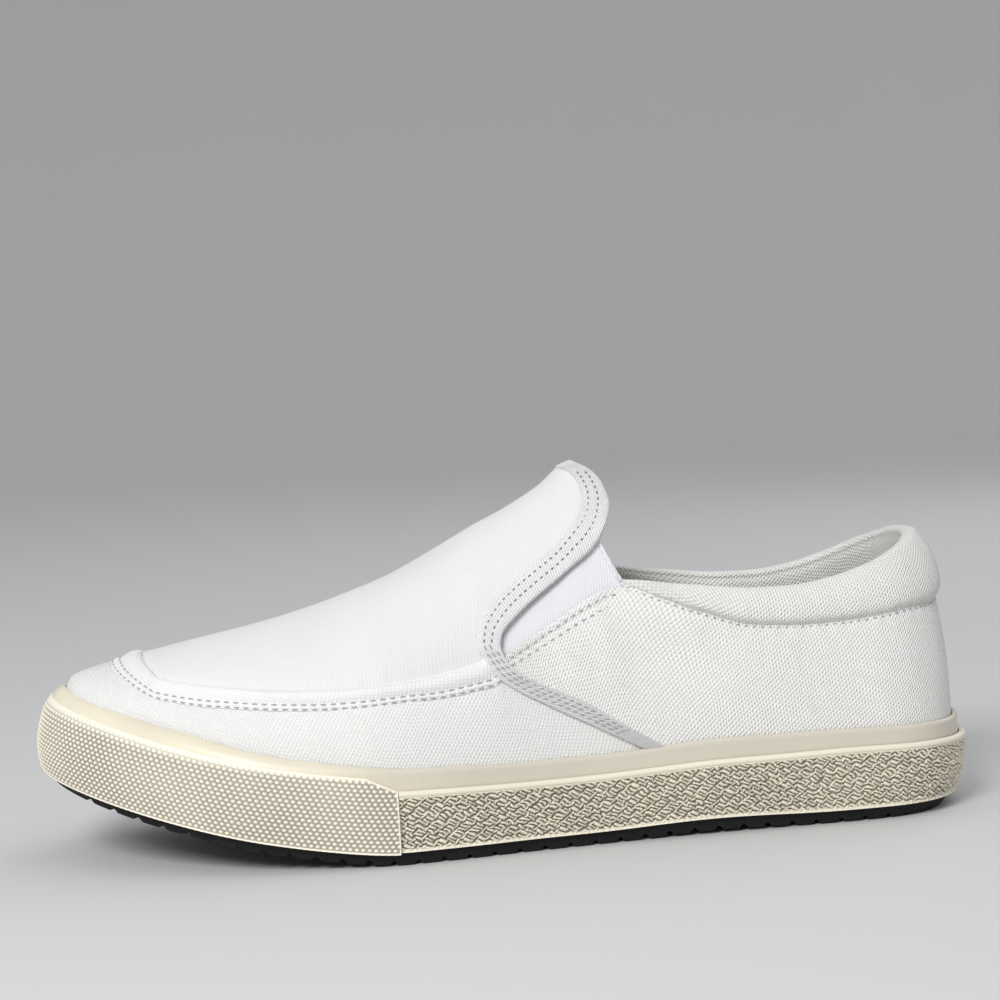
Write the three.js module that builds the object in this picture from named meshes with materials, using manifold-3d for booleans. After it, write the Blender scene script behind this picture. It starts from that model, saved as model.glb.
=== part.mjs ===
// Left slip-on sneaker with canvas upper, padded collar, elastic gores and a vulcanised rubber sole.
// Millimetres. Heel at low X, toe at high X, wearer's left at +Y, floor at Z 0.
import * as THREE from 'three';
import Module from 'manifold-3d';

// Whole shoe
const LENGTH = 300;
const BALL_WIDTH = 108;
const INSTEP_HEIGHT = 116;
const GAP = 0.3;

// Sole
const OUTSOLE_THICKNESS = 4;
const LUG_DEPTH = 2.7;
const LUG_PITCH = 7.85;
const LUG_ROOT_GAP = 1.2;
const LUG_FLOOR_GAP = 3.2;
const HEEL_BLOCK = 26;
const HEEL_BEVEL = 4;
const MIDSOLE_THICKNESS = 7.4;
const INSOLE_THICKNESS = 4;
const TOE_SPRING = 24.5;
const ARCH_RISE = 1;

// Rubber sides
const FOXING_HEIGHT = 29.5;
const FOXING_THICKNESS = 1.5;
const BAND_HEIGHT = 22;
const BAND_THICKNESS = 2;
const BAND_RIBS = 6;
const BAND_RIB_DEPTH = 0.5;
const BUMPER_HEIGHT = 26.4;
const BUMPER_PROUD = 0.9;
const BUMPER_DROP = 0.6;
const SIDE_UNDERCUT = 6;
const UNDERCUT_HEIGHT = 18;
const TOE_LEAN = 7.5;
const LEAN_FROM = 6;

// Canvas
const WALL = 2.2;
const COLLAR_ROLL = 3;
const COLLAR_PAD = 3;
const GORE_RECESS = 0.9;
const APRON_STEP = 1.1;
const WELT_STEP = 2.2;
const TAPE_THICKNESS = 1.2;

// Shares of LENGTH
const HEEL_ROUND = 0.115;
const TOE_ROUND = 0.24;
const SPRING_START = 0.62;
const ARCH_START = 0.16;
const ARCH_SPAN = 0.28;
const BUMPER_START = 0.629;
const BUMPER_SLANT = 0.032;
const HEEL_POLE = 0.127;
const TOE_POLE = 0.873;
const HEEL_FAN = 0.3;
const TOE_FAN = 0.7;

// Sections along the shoe, at a share of its length: half width and centre shift as shares of the ball width,
// foxing and band tops as shares of their heights, undercut and lean as shares, arch fullness exponent.
const SECTIONS = [
  { at: 0.00, half: 0.715, centre: 0.000, foxing: 0.976, band: 1.035, under: 1.00, lean: 0.05, bulge: 2.00 },
  { at: 0.06, half: 0.717, centre: 0.001, foxing: 0.985, band: 1.075, under: 0.80, lean: 0.05, bulge: 2.00 },
  { at: 0.15, half: 0.723, centre: 0.003, foxing: 1.000, band: 1.085, under: 0.30, lean: 0.08, bulge: 2.00 },
  { at: 0.26, half: 0.738, centre: 0.010, foxing: 0.983, band: 1.030, under: 0.20, lean: 0.10, bulge: 2.00 },
  { at: 0.37, half: 0.760, centre: 0.018, foxing: 0.942, band: 0.998, under: 0.15, lean: 0.12, bulge: 1.95 },
  { at: 0.48, half: 0.825, centre: 0.021, foxing: 0.932, band: 0.990, under: 0.15, lean: 0.14, bulge: 1.95 },
  { at: 0.58, half: 0.935, centre: 0.012, foxing: 0.965, band: 1.015, under: 0.15, lean: 0.18, bulge: 1.95 },
  { at: 0.66, half: 1.000, centre: -0.002, foxing: 0.998, band: 1.040, under: 0.15, lean: 0.25, bulge: 1.95 },
  { at: 0.76, half: 0.985, centre: -0.020, foxing: 1.005, band: 1.050, under: 0.20, lean: 0.45, bulge: 1.85 },
  { at: 0.88, half: 0.900, centre: -0.043, foxing: 1.037, band: 1.050, under: 0.30, lean: 0.80, bulge: 1.60 },
  { at: 1.00, half: 0.800, centre: -0.062, foxing: 1.068, band: 1.050, under: 0.40, lean: 1.00, bulge: 1.35 },
];

// Top line of the last, at a share of the length, as a share of the instep height
const RIDGE = [
  { at: 0.130, top: 0.966 },
  { at: 0.250, top: 0.985 },
  { at: 0.340, top: 1.006 },
  { at: 0.390, top: 1.022 },
  { at: 0.422, top: 1.000 },
  { at: 0.453, top: 0.937 },
  { at: 0.520, top: 0.841 },
  { at: 0.607, top: 0.726 },
  { at: 0.693, top: 0.641 },
  { at: 0.757, top: 0.597 },
  { at: 0.842, top: 0.5535 },
  { at: 0.873, top: 0.5345 },
];

// Lines that each rib crosses, at the rib's share of the half outline: share and arch share of the lower seam
// (collar roll, gore edge, apron stitch), of the upper line (roll crest, tape edge, welt) and of the top edge.
const LINES = [
  { at: 0.000, seam: 0.000, seamUp: 0.306, welt: 0.000, weltUp: 0.413, edge: 0.000, edgeUp: 0.500 },
  { at: 0.040, seam: 0.040, seamUp: 0.302, welt: 0.040, weltUp: 0.408, edge: 0.040, edgeUp: 0.495 },
  { at: 0.080, seam: 0.080, seamUp: 0.295, welt: 0.080, weltUp: 0.394, edge: 0.080, edgeUp: 0.475 },
  { at: 0.120, seam: 0.120, seamUp: 0.290, welt: 0.120, weltUp: 0.375, edge: 0.120, edgeUp: 0.445 },
  { at: 0.160, seam: 0.160, seamUp: 0.274, welt: 0.160, weltUp: 0.346, edge: 0.160, edgeUp: 0.405 },
  { at: 0.200, seam: 0.200, seamUp: 0.262, welt: 0.200, weltUp: 0.321, edge: 0.200, edgeUp: 0.370 },
  { at: 0.240, seam: 0.240, seamUp: 0.258, welt: 0.240, weltUp: 0.309, edge: 0.240, edgeUp: 0.351 },
  { at: 0.280, seam: 0.280, seamUp: 0.263, welt: 0.280, weltUp: 0.309, edge: 0.280, edgeUp: 0.348 },
  { at: 0.328, seam: 0.333, seamUp: 0.309, welt: 0.338, weltUp: 0.337, edge: 0.344, edgeUp: 0.371 },
  { at: 0.349, seam: 0.368, seamUp: 0.352, welt: 0.372, weltUp: 0.369, edge: 0.378, edgeUp: 0.389 },
  { at: 0.363, seam: 0.392, seamUp: 0.376, welt: 0.395, weltUp: 0.386, edge: 0.398, edgeUp: 0.395 },
  { at: 0.380, seam: 0.414, seamUp: 0.375, welt: 0.407, weltUp: 0.433, edge: 0.410, edgeUp: 0.447 },
  { at: 0.395, seam: 0.427, seamUp: 0.365, welt: 0.418, weltUp: 0.485, edge: 0.416, edgeUp: 0.509 },
  { at: 0.406, seam: 0.440, seamUp: 0.356, welt: 0.430, weltUp: 0.476, edge: 0.405, edgeUp: 0.565 },
  { at: 0.418, seam: 0.451, seamUp: 0.352, welt: 0.443, weltUp: 0.464, edge: 0.401, edgeUp: 0.629 },
  { at: 0.430, seam: 0.461, seamUp: 0.346, welt: 0.454, weltUp: 0.458, edge: 0.405, edgeUp: 0.706 },
  { at: 0.441, seam: 0.472, seamUp: 0.338, welt: 0.466, weltUp: 0.446, edge: 0.414, edgeUp: 0.801 },
  { at: 0.447, seam: 0.4765, seamUp: 0.333, welt: 0.472, weltUp: 0.439, edge: 0.4265, edgeUp: 0.900 },
  { at: 0.453, seam: 0.481, seamUp: 0.328, welt: 0.478, weltUp: 0.431, edge: 0.430, edgeUp: 1.000 },
  { at: 0.476, seam: 0.495, seamUp: 0.312, welt: 0.496, weltUp: 0.403, edge: 0.462, edgeUp: 1.000 },
  { at: 0.500, seam: 0.508, seamUp: 0.290, welt: 0.514, weltUp: 0.353, edge: 0.491, edgeUp: 1.000 },
  { at: 0.520, seam: 0.519, seamUp: 0.222, welt: 0.531, weltUp: 0.296, edge: 0.520, edgeUp: 1.000 },
  { at: 0.556, seam: 0.556, seamUp: 0.222, welt: 0.566, weltUp: 0.298, edge: 0.559, edgeUp: 1.000 },
  { at: 0.606, seam: 0.605, seamUp: 0.240, welt: 0.613, weltUp: 0.313, edge: 0.606, edgeUp: 1.000 },
  { at: 0.658, seam: 0.660, seamUp: 0.244, welt: 0.665, weltUp: 0.334, edge: 0.658, edgeUp: 1.000 },
  { at: 0.707, seam: 0.709, seamUp: 0.258, welt: 0.712, weltUp: 0.361, edge: 0.707, edgeUp: 1.000 },
  { at: 0.753, seam: 0.758, seamUp: 0.278, welt: 0.754, weltUp: 0.396, edge: 0.753, edgeUp: 1.000 },
  { at: 0.840, seam: 0.840, seamUp: 0.270, welt: 0.840, weltUp: 0.421, edge: 0.840, edgeUp: 1.000 },
  { at: 0.880, seam: 0.880, seamUp: 0.285, welt: 0.880, weltUp: 0.470, edge: 0.880, edgeUp: 1.000 },
  { at: 0.920, seam: 0.920, seamUp: 0.340, welt: 0.920, weltUp: 0.560, edge: 0.920, edgeUp: 1.000 },
  { at: 0.960, seam: 0.960, seamUp: 0.470, welt: 0.960, weltUp: 0.700, edge: 0.960, edgeUp: 1.000 },
  { at: 1.000, seam: 1.000, seamUp: 0.570, welt: 1.000, weltUp: 0.760, edge: 1.000, edgeUp: 1.000 },
];

// Shares of the roll, of the gore recess, of the apron and of its welt that stand on each rib
const ZONES = [
  { at: 0.000, roll: 1, gore: 0, apron: 0 },
  { at: 0.290, roll: 0.9, gore: 0, apron: 0 },
  { at: 0.328, roll: 0.6, gore: 0, apron: 0 },
  { at: 0.355, roll: 0.15, gore: 0, apron: 0 },
  { at: 0.368, roll: 0, gore: 0, apron: 0 },
  { at: 0.385, roll: 0, gore: 1, apron: 0 },
  { at: 0.490, roll: 0, gore: 1, apron: 0 },
  { at: 0.508, roll: 0, gore: 0, apron: 0 },
  { at: 0.536, roll: 0, gore: 0, apron: 0 },
  { at: 0.552, roll: 0, gore: 0, apron: 1 },
  { at: 1.000, roll: 0, gore: 0, apron: 1 },
];

// Height of the wall's steps across the lines (1 seam, 2 upper line, 3 top edge), as shares
const STEPS = [
  { at: 0.00, roll: 0.00, gore: 0, apron: 0.0, welt: 0.0, pad: 0.0 },
  { at: 0.97, roll: 0.00, gore: 0, apron: 0.0, welt: 0.0, pad: 0.0 },
  { at: 1.03, roll: -0.15, gore: 1, apron: 1.0, welt: 0.0, pad: 0.1 },
  { at: 1.30, roll: 0.60, gore: 1, apron: 1.0, welt: 0.0, pad: 0.4 },
  { at: 1.70, roll: 0.92, gore: 1, apron: 1.0, welt: 0.5, pad: 0.8 },
  { at: 1.97, roll: 1.00, gore: 1, apron: 1.0, welt: 1.0, pad: 1.0 },
  { at: 2.10, roll: 1.00, gore: 0, apron: 0.5, welt: 0.0, pad: 1.0 },
  { at: 2.50, roll: 0.85, gore: 0, apron: 0.5, welt: 0.0, pad: 0.9 },
  { at: 3.00, roll: 0.45, gore: 0, apron: 0.5, welt: 0.0, pad: 0.6 },
];

// Both edges of the folded tape, from the foxing up the vamp, round the gore's tip and over the tongue
const TAPE = [
  { at: 0.000, rear: 0.381, rearUp: 0.020, front: 0.401, frontUp: 0.020 },
  { at: 0.059, rear: 0.409, rearUp: 0.069, front: 0.427, frontUp: 0.060 },
  { at: 0.118, rear: 0.443, rearUp: 0.135, front: 0.462, frontUp: 0.121 },
  { at: 0.176, rear: 0.478, rearUp: 0.200, front: 0.496, frontUp: 0.190 },
  { at: 0.235, rear: 0.496, rearUp: 0.244, front: 0.515, frontUp: 0.245 },
  { at: 0.294, rear: 0.507, rearUp: 0.295, front: 0.525, frontUp: 0.303 },
  { at: 0.353, rear: 0.510, rearUp: 0.333, front: 0.530, frontUp: 0.351 },
  { at: 0.412, rear: 0.508, rearUp: 0.365, front: 0.528, frontUp: 0.405 },
  { at: 0.471, rear: 0.492, rearUp: 0.409, front: 0.515, frontUp: 0.473 },
  { at: 0.529, rear: 0.473, rearUp: 0.440, front: 0.496, frontUp: 0.513 },
  { at: 0.588, rear: 0.454, rearUp: 0.459, front: 0.472, frontUp: 0.543 },
  { at: 0.647, rear: 0.434, rearUp: 0.471, front: 0.451, frontUp: 0.563 },
  { at: 0.706, rear: 0.416, rearUp: 0.507, front: 0.436, frontUp: 0.591 },
  { at: 0.765, rear: 0.405, rearUp: 0.567, front: 0.427, frontUp: 0.631 },
  { at: 0.824, rear: 0.401, rearUp: 0.629, front: 0.425, frontUp: 0.691 },
  { at: 0.882, rear: 0.405, rearUp: 0.706, front: 0.427, frontUp: 0.759 },
  { at: 0.941, rear: 0.414, rearUp: 0.802, front: 0.433, frontUp: 0.850 },
  { at: 0.971, rear: 0.4265, rearUp: 0.900, front: 0.4395, frontUp: 0.925 },
  { at: 1.000, rear: 0.430, rearUp: 1.000, front: 0.441, frontUp: 1.000 },
];

const TONGUE_RIB = 0.453;
const REAR_RIBS = 17;
const FRONT_RIBS = 19;
const TAPE_STEPS = 36;

const BODY = LENGTH - BUMPER_PROUD;
const UPPER_INSET = BAND_THICKNESS + GAP + FOXING_THICKNESS + GAP;
const SOLE_TOP = OUTSOLE_THICKNESS + GAP;
const MIDSOLE_TOP = SOLE_TOP + MIDSOLE_THICKNESS;
const SKIRT_BOTTOM = MIDSOLE_TOP + GAP;

// Smooth curve through one column of a table that never overshoots its rows
function curve(rows, column) {
  const xs = rows.map((row) => row.at);
  const ys = rows.map((row) => row[column]);
  const last = xs.length - 1;
  const step = xs.slice(1).map((x, k) => x - xs[k]);
  const rise = step.map((h, k) => (ys[k + 1] - ys[k]) / h);
  const slope = xs.map((x, k) => {
    if (k === 0) return rise[0];
    if (k === last) return rise[last - 1];
    if (rise[k - 1] * rise[k] <= 0) return 0;
    const before = 2 * step[k] + step[k - 1];
    const after = step[k] + 2 * step[k - 1];
    return (before + after) / (before / rise[k - 1] + after / rise[k]);
  });
  return (x) => {
    let k = 0;
    while (k < last - 1 && x >= xs[k + 1]) k += 1;
    const h = step[k];
    const t = Math.min(Math.max((x - xs[k]) / h, 0), 1);
    const r = 1 - t;
    const ends = (1 + 2 * t) * r * r * ys[k] + t * t * (3 - 2 * t) * ys[k + 1];
    return ends + t * r * r * h * slope[k] - t * t * r * h * slope[k + 1];
  };
}

// Straight lines through one column of a table
function ramp(rows, column) {
  return (x) => {
    let k = 0;
    while (k < rows.length - 2 && x >= rows[k + 1].at) k += 1;
    const t = Math.min(Math.max((x - rows[k].at) / (rows[k + 1].at - rows[k].at), 0), 1);
    return rows[k][column] * (1 - t) + rows[k + 1][column] * t;
  };
}

function columns(rows, make) {
  const names = Object.keys(rows[0]).filter((name) => name !== 'at');
  return Object.fromEntries(names.map((name) => [name, make(rows, name)]));
}

const section = columns(SECTIONS, curve);
const ridgeTop = curve(RIDGE, 'top');
const line = columns(LINES, curve);
const zone = columns(ZONES, ramp);
const step = columns(STEPS, ramp);
const tape = columns(TAPE, curve);
const clamp = (x) => Math.min(Math.max(x, 0), 1);

function halfWidth(x) {
  const q = x / BODY;
  const heel = (1 - clamp(1 - q / HEEL_ROUND) ** 2.2) ** (1 / 2.2);
  const toe = clamp(1 - clamp((q - 1 + TOE_ROUND) / TOE_ROUND) ** 2.1) ** (1 / 2.1);
  return (BALL_WIDTH / 2) * section.half(q) * heel * toe;
}

const centreShift = (x) => BALL_WIDTH * section.centre(x / BODY);

// Half outline measured along its length, so that ribs stand evenly round the heel and the toe
const OUTLINE = [];
for (let k = 0; k <= 2000; k += 1) {
  const x = (BODY * (1 - Math.cos((Math.PI * k) / 2000))) / 2;
  const w = halfWidth(x);
  const before = OUTLINE[k - 1];
  OUTLINE.push({ x, w, at: before ? before.at + Math.hypot(x - before.x, w - before.w) : 0 });
}
const HALF_LOOP = OUTLINE[OUTLINE.length - 1].at;
OUTLINE.forEach((point) => { point.at /= HALF_LOOP; });

function search(key, value) {
  let low = 0;
  let high = OUTLINE.length - 1;
  while (high - low > 1) {
    const mid = (low + high) >> 1;
    if (OUTLINE[mid][key] <= value) low = mid; else high = mid;
  }
  const a = OUTLINE[low];
  const b = OUTLINE[high];
  const t = clamp((value - a[key]) / (b[key] - a[key]));
  return { x: a.x + (b.x - a.x) * t, w: a.w + (b.w - a.w) * t, at: a.at + (b.at - a.at) * t };
}

// Point of the outline: 0 heel, 1 toe, on the left side between them, on the right side from 1 to 2
function outline(p) {
  const loop = ((p % 2) + 2) % 2;
  const point = search('at', loop <= 1 ? loop : 2 - loop);
  return new THREE.Vector2(point.x, centreShift(point.x) + (loop <= 1 ? point.w : -point.w));
}

function outward(p) {
  const along = outline(p + 0.004).sub(outline(p - 0.004)).normalize();
  return new THREE.Vector2(-along.y, along.x);
}

function floorHeight(x) {
  const q = x / BODY;
  const spring = TOE_SPRING * Math.max((q - SPRING_START) / (1 - SPRING_START), 0) ** 1.5;
  return spring + ARCH_RISE * Math.sin(Math.PI * clamp((q - ARCH_START) / ARCH_SPAN)) ** 2;
}

// Point of the rubber side at a height above the floor line, moved outward by an offset
function side(p, height, offset) {
  const point = outline(p);
  const q = point.x / BODY;
  const under = SIDE_UNDERCUT * section.under(q) * clamp(1 - height / UNDERCUT_HEIGHT) ** 2;
  const leaned = Math.max(height - LEAN_FROM, 0) / (FOXING_HEIGHT * 1.068 - LEAN_FROM);
  const lean = TOE_LEAN * section.lean(q) * leaned ** 2;
  const moved = outward(p).multiplyScalar(offset - under - lean).add(point);
  return new THREE.Vector3(moved.x, moved.y, floorHeight(point.x) + height);
}

const share = (p) => outline(p).x / BODY;
const foxingTop = (p) => FOXING_HEIGHT * section.foxing(share(p));

// Point of the last above the foxing: rib share p, arch share a from the foxing to the top line
function last(p, a) {
  const q = share(p);
  const base = side(p, foxingTop(p), -UPPER_INSET);
  const heelPull = HEEL_POLE * Math.max(1 - q / HEEL_FAN, 0) ** 2;
  const toePull = (1 - TOE_POLE) * Math.max((q - TOE_FAN) / (1 - TOE_FAN), 0) ** 2;
  const top = q + heelPull - toePull;
  const inward = a >= 1 ? 1 : 1 - Math.cos((a * Math.PI) / 2) ** (2 / section.bulge(q));
  const up = a >= 1 ? 1 : Math.sin((a * Math.PI) / 2) ** (2 / section.bulge(q));
  return new THREE.Vector3(
    base.x + (top * BODY - base.x) * inward,
    base.y + (centreShift(top * BODY) - base.y) * inward,
    base.z + (INSTEP_HEIGHT * ridgeTop(top) - base.z) * up,
  );
}

// One closed body from points and triangles, with its faces turned outward
function body(name, points, triangles, material) {
  const position = new Float32Array(points.flatMap((point) => point.toArray()));
  const at = (k) => new THREE.Vector3().fromArray(position, 3 * k);
  const volume = triangles.reduce((sum, [a, b, c]) => sum + at(a).dot(at(b).cross(at(c))), 0);
  const turned = volume < 0 ? triangles.map(([a, b, c]) => [a, c, b]) : triangles;
  const geometry = new THREE.BufferGeometry();
  geometry.setAttribute('position', new THREE.BufferAttribute(position, 3));
  geometry.setIndex(turned.flat());
  geometry.computeVertexNormals();
  const mesh = new THREE.Mesh(geometry, material);
  mesh.name = name;
  return mesh;
}

const quad = (a, b, c, d) => [[a, b, c], [a, c, d]];

// Body swept through equal sections: a full ring, or a strip closed by both end sections
function sweep(name, sections, flat, closed, material) {
  const n = flat.length;
  const count = sections.length;
  const triangles = [];
  for (let i = 0; i < (closed ? count : count - 1); i += 1) {
    const next = (i + 1) % count;
    for (let j = 0; j < n; j += 1) {
      const k = (j + 1) % n;
      triangles.push(...quad(i * n + j, i * n + k, next * n + k, next * n + j));
    }
  }
  if (!closed) {
    const faces = THREE.ShapeUtils.triangulateShape(flat, []);
    const clockwise = THREE.ShapeUtils.isClockWise(flat);
    faces.forEach(([a, b, c]) => {
      const face = clockwise ? [a, c, b] : [a, b, c];
      triangles.push([face[0], face[2], face[1]]);
      triangles.push(face.map((k) => k + (count - 1) * n));
    });
  }
  return body(name, sections.flat(), orient(triangles), material);
}

// Makes all triangles of a closed body agree with the first one
function orient(triangles) {
  const edges = new Map();
  const key = (a, b) => (a < b ? `${a},${b}` : `${b},${a}`);
  triangles.forEach((triangle, index) => {
    [0, 1, 2].forEach((k) => {
      const name = key(triangle[k], triangle[(k + 1) % 3]);
      if (!edges.has(name)) edges.set(name, []);
      edges.get(name).push(index);
    });
  });
  const result = triangles.map((triangle) => [...triangle]);
  const seen = new Set([0]);
  const queue = [0];
  while (queue.length) {
    const index = queue.pop();
    const [a, b, c] = result[index];
    [[a, b], [b, c], [c, a]].forEach(([from, to]) => {
      edges.get(key(from, to)).filter((other) => !seen.has(other)).forEach((other) => {
        const t = result[other];
        const same = t.some((v, k) => v === from && t[(k + 1) % 3] === to);
        if (same) result[other] = [t[0], t[2], t[1]];
        seen.add(other);
        queue.push(other);
      });
    });
  }
  return result;
}

const between = (from, to, count) => Array.from({ length: count + 1 }, (_, k) => from + ((to - from) * k) / count);

// Ribs shared by all layers: left side from heel to toe and back on the right side
const ribs = [...between(0, TONGUE_RIB, REAR_RIBS).slice(0, -1), ...between(TONGUE_RIB, 1, FRONT_RIBS)];
const RIB_COUNT = ribs.length - 1;
const ribLoop = [...ribs, ...ribs.slice(1, -1).reverse().map((r) => 2 - r)];

// Slab inside the outline between two heights above the floor line
function slab(name, heights, offset, material) {
  const n = ribLoop.length;
  const points = heights.flatMap((height) => ribLoop.map((p) => side(p, height, offset)));
  const triangles = [];
  for (let j = 0; j + 1 < heights.length; j += 1) {
    for (let i = 0; i < n; i += 1) {
      const next = (i + 1) % n;
      triangles.push(...quad(j * n + i, j * n + next, (j + 1) * n + next, (j + 1) * n + i));
    }
  }
  [0, (heights.length - 1) * n].forEach((row) => {
    for (let i = 0; i < RIB_COUNT; i += 1) {
      const a = row + i;
      const b = row + i + 1;
      const c = row + ((n - i - 1) % n);
      const d = row + ((n - i) % n);
      if (a !== d) triangles.push([a, c, d]);
      if (b !== c) triangles.push([a, b, c]);
    }
  });
  return body(name, points, orient(triangles), material);
}

// Strip of rubber round part of the outline; the profile gives height and offset at a loop share
function strip(name, shares, profile, closed, material) {
  const sections = shares.map((p) => profile(p).map(([height, offset]) => side(p, height, offset)));
  const flat = profile(shares[0]).map(([height, offset]) => new THREE.Vector2(offset, height));
  return sweep(name, sections, flat, closed, material);
}

// Heights at which every layer of the side bends alike
const LEVELS = [0, 0.25, 0.5, 0.75, 1.07].map((part) => SOLE_TOP + (BAND_HEIGHT - SOLE_TOP) * part);

function foxing(material) {
  const outer = -BAND_THICKNESS - GAP;
  const inner = outer - FOXING_THICKNESS;
  return strip('foxing', ribLoop, (p) => {
    const top = foxingTop(p);
    return [
      ...LEVELS.map((height) => [height, outer]), [top - 1.2, outer],
      [top - 0.3, outer - 0.4], [top, outer - 0.9], [top - 0.4, inner],
      ...[...LEVELS].reverse().map((height) => [height, inner]),
    ];
  }, true, material);
}

const bumperShare = search('x', BUMPER_START * LENGTH).at;
const endGap = GAP / HALF_LOOP / 2;

function sidewallBand(material) {
  const end = bumperShare - endGap;
  const along = ribs.filter((r) => r > 0 && r < end - 0.005);
  const shares = [-end, ...[...along].reverse().map((r) => -r), 0, ...along, end];
  return strip('sidewall_band', shares, (p) => {
    const top = BAND_HEIGHT * section.band(share(p));
    const pitch = (top - 2 - SOLE_TOP) / BAND_RIBS;
    const ribs = between(0, BAND_RIBS - 1, BAND_RIBS - 1).flatMap((k) => [
      [SOLE_TOP + pitch * k, -BAND_RIB_DEPTH],
      [SOLE_TOP + pitch * (k + 0.5), 0],
    ]);
    return [
      ...ribs, [top - 2, -BAND_RIB_DEPTH], [top - 1.5, 0], [top, -0.3], [top, -BAND_THICKNESS],
      ...LEVELS.slice(0, 4).reverse().map((height) => [height, -BAND_THICKNESS]),
    ];
  }, false, material);
}

function toeBumper(material) {
  const start = bumperShare + endGap;
  const slant = search('x', (BUMPER_START + BUMPER_SLANT) * LENGTH).at;
  const far = ribLoop.filter((p) => p > slant + 0.005 && p < 2 - slant - 0.005);
  const shares = [start, slant, ...far, 2 - slant, 2 - start];
  return strip('toe_bumper', shares, (p) => {
    const band = BAND_HEIGHT * section.band(share(p));
    const rise = clamp((Math.min(p, 2 - p) - start) / (slant - start));
    const top = band + (BUMPER_HEIGHT - band) * rise;
    return [
      [SOLE_TOP - BUMPER_DROP, -BAND_THICKNESS], [SOLE_TOP - BUMPER_DROP, BUMPER_PROUD - 0.4],
      [SOLE_TOP + 0.4, BUMPER_PROUD], [LEVELS[2], BUMPER_PROUD], [top - 2.5, BUMPER_PROUD - 0.3],
      [top - 0.5, BUMPER_PROUD - 0.9], [top, -0.4], [top - 0.2, -BAND_THICKNESS],
      ...LEVELS.slice(1, 4).reverse().map((height) => [height, -BAND_THICKNESS]),
    ];
  }, false, material);
}

// Prism through a flat outline, placed in space by one function for each end
function prism(flat, near, far) {
  const n = flat.length;
  const points = [...flat.map(near), ...flat.map(far)];
  const faces = THREE.ShapeUtils.triangulateShape(flat, []);
  const triangles = [];
  for (let j = 0; j < n; j += 1) triangles.push(...quad(j, (j + 1) % n, n + ((j + 1) % n), n + j));
  faces.forEach((face) => triangles.push(face, face.map((k) => k + n)));
  return body('prism', points, orient(triangles), new THREE.MeshStandardMaterial()).geometry;
}

// Rubber plate with cross lugs: the side profile with its gaps, kept inside the outline
async function outsole(material) {
  const wasm = await Module();
  wasm.setup();
  const solid = (geometry) => new wasm.Manifold(new wasm.Mesh({
    numProp: 3,
    vertProperties: new Float32Array(geometry.attributes.position.array),
    triVerts: new Uint32Array(geometry.index.array),
  }));
  const under = [];
  const first = HEEL_BLOCK + LUG_PITCH / 2;
  const count = Math.floor((LENGTH * 0.955 - first) / LUG_PITCH);
  for (let k = 0; k <= count; k += 1) {
    const x = first + LUG_PITCH * k - LUG_PITCH / 2;
    under.push([x - LUG_FLOOR_GAP / 2, 0], [x - LUG_ROOT_GAP / 2, LUG_DEPTH]);
    under.push([x + LUG_ROOT_GAP / 2, LUG_DEPTH], [x + LUG_FLOOR_GAP / 2, 0]);
  }
  const heelLine = [[-5, OUTSOLE_THICKNESS], [HEEL_BEVEL * 0.4 + BAND_THICKNESS, OUTSOLE_THICKNESS - 0.8]];
  const bottom = [...heelLine, [HEEL_BEVEL + 6, 0], ...under, [LENGTH + 5, 0.6]];
  const top = between(LENGTH + 5, -5, 60).map((x) => [x, OUTSOLE_THICKNESS]);
  const flat = [...bottom, ...top.slice(0, -1)].map(([x, z]) => new THREE.Vector2(x, floorHeight(x) + z));
  const across = BALL_WIDTH;
  const profile = prism(
    flat,
    (point) => new THREE.Vector3(point.x, -across, point.y),
    (point) => new THREE.Vector3(point.x, across, point.y),
  );
  const inset = -BAND_THICKNESS - GAP;
  const plan = ribLoop.map((p) => side(p, 2, inset)).map((point) => new THREE.Vector2(point.x, point.y));
  const outlinePrism = prism(
    plan,
    (point) => new THREE.Vector3(point.x, point.y, -10),
    (point) => new THREE.Vector3(point.x, point.y, TOE_SPRING + 40),
  );
  const cut = solid(profile).intersect(solid(outlinePrism)).getMesh();
  const geometry = new THREE.BufferGeometry();
  geometry.setAttribute('position', new THREE.BufferAttribute(new Float32Array(cut.vertProperties), 3));
  geometry.setIndex(Array.from(cut.triVerts));
  geometry.computeVertexNormals();
  const mesh = new THREE.Mesh(geometry, material);
  mesh.name = 'outsole';
  return mesh;
}

const ROWS = [-1, -0.5, 0, 0.3, 0.6, 0.85, 0.97, 1.03, 1.3, 1.7, 1.97, 2.1, 2.5, 2.8, 3];

function ribPoint(p, v) {
  const r = p <= 1 ? p : 2 - p;
  if (v < 0) return side(p, foxingTop(p) + (foxingTop(p) - SKIRT_BOTTOM) * v, -UPPER_INSET);
  const stops = [[r, 0], [line.seam(r), line.seamUp(r)], [line.welt(r), line.weltUp(r)], [line.edge(r), line.edgeUp(r)]];
  const k = Math.min(Math.floor(v), 2);
  const [from, to] = [stops[k], stops[k + 1]];
  const s = from[0] + (to[0] - from[0]) * (v - k);
  const a = from[1] + (to[1] - from[1]) * (v - k);
  return last(p <= 1 ? s : 2 - s, a);
}

function outerStep(r, v) {
  const roll = COLLAR_ROLL * zone.roll(r) * step.roll(v);
  const gore = -GORE_RECESS * zone.gore(r) * step.gore(v);
  const apron = APRON_STEP * zone.apron(r) * step.apron(v);
  return roll + gore + apron + (WELT_STEP - APRON_STEP) * zone.apron(r) * step.welt(v);
}

const innerStep = (r, v) => WALL + COLLAR_PAD * zone.roll(r) * step.pad(v);

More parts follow.
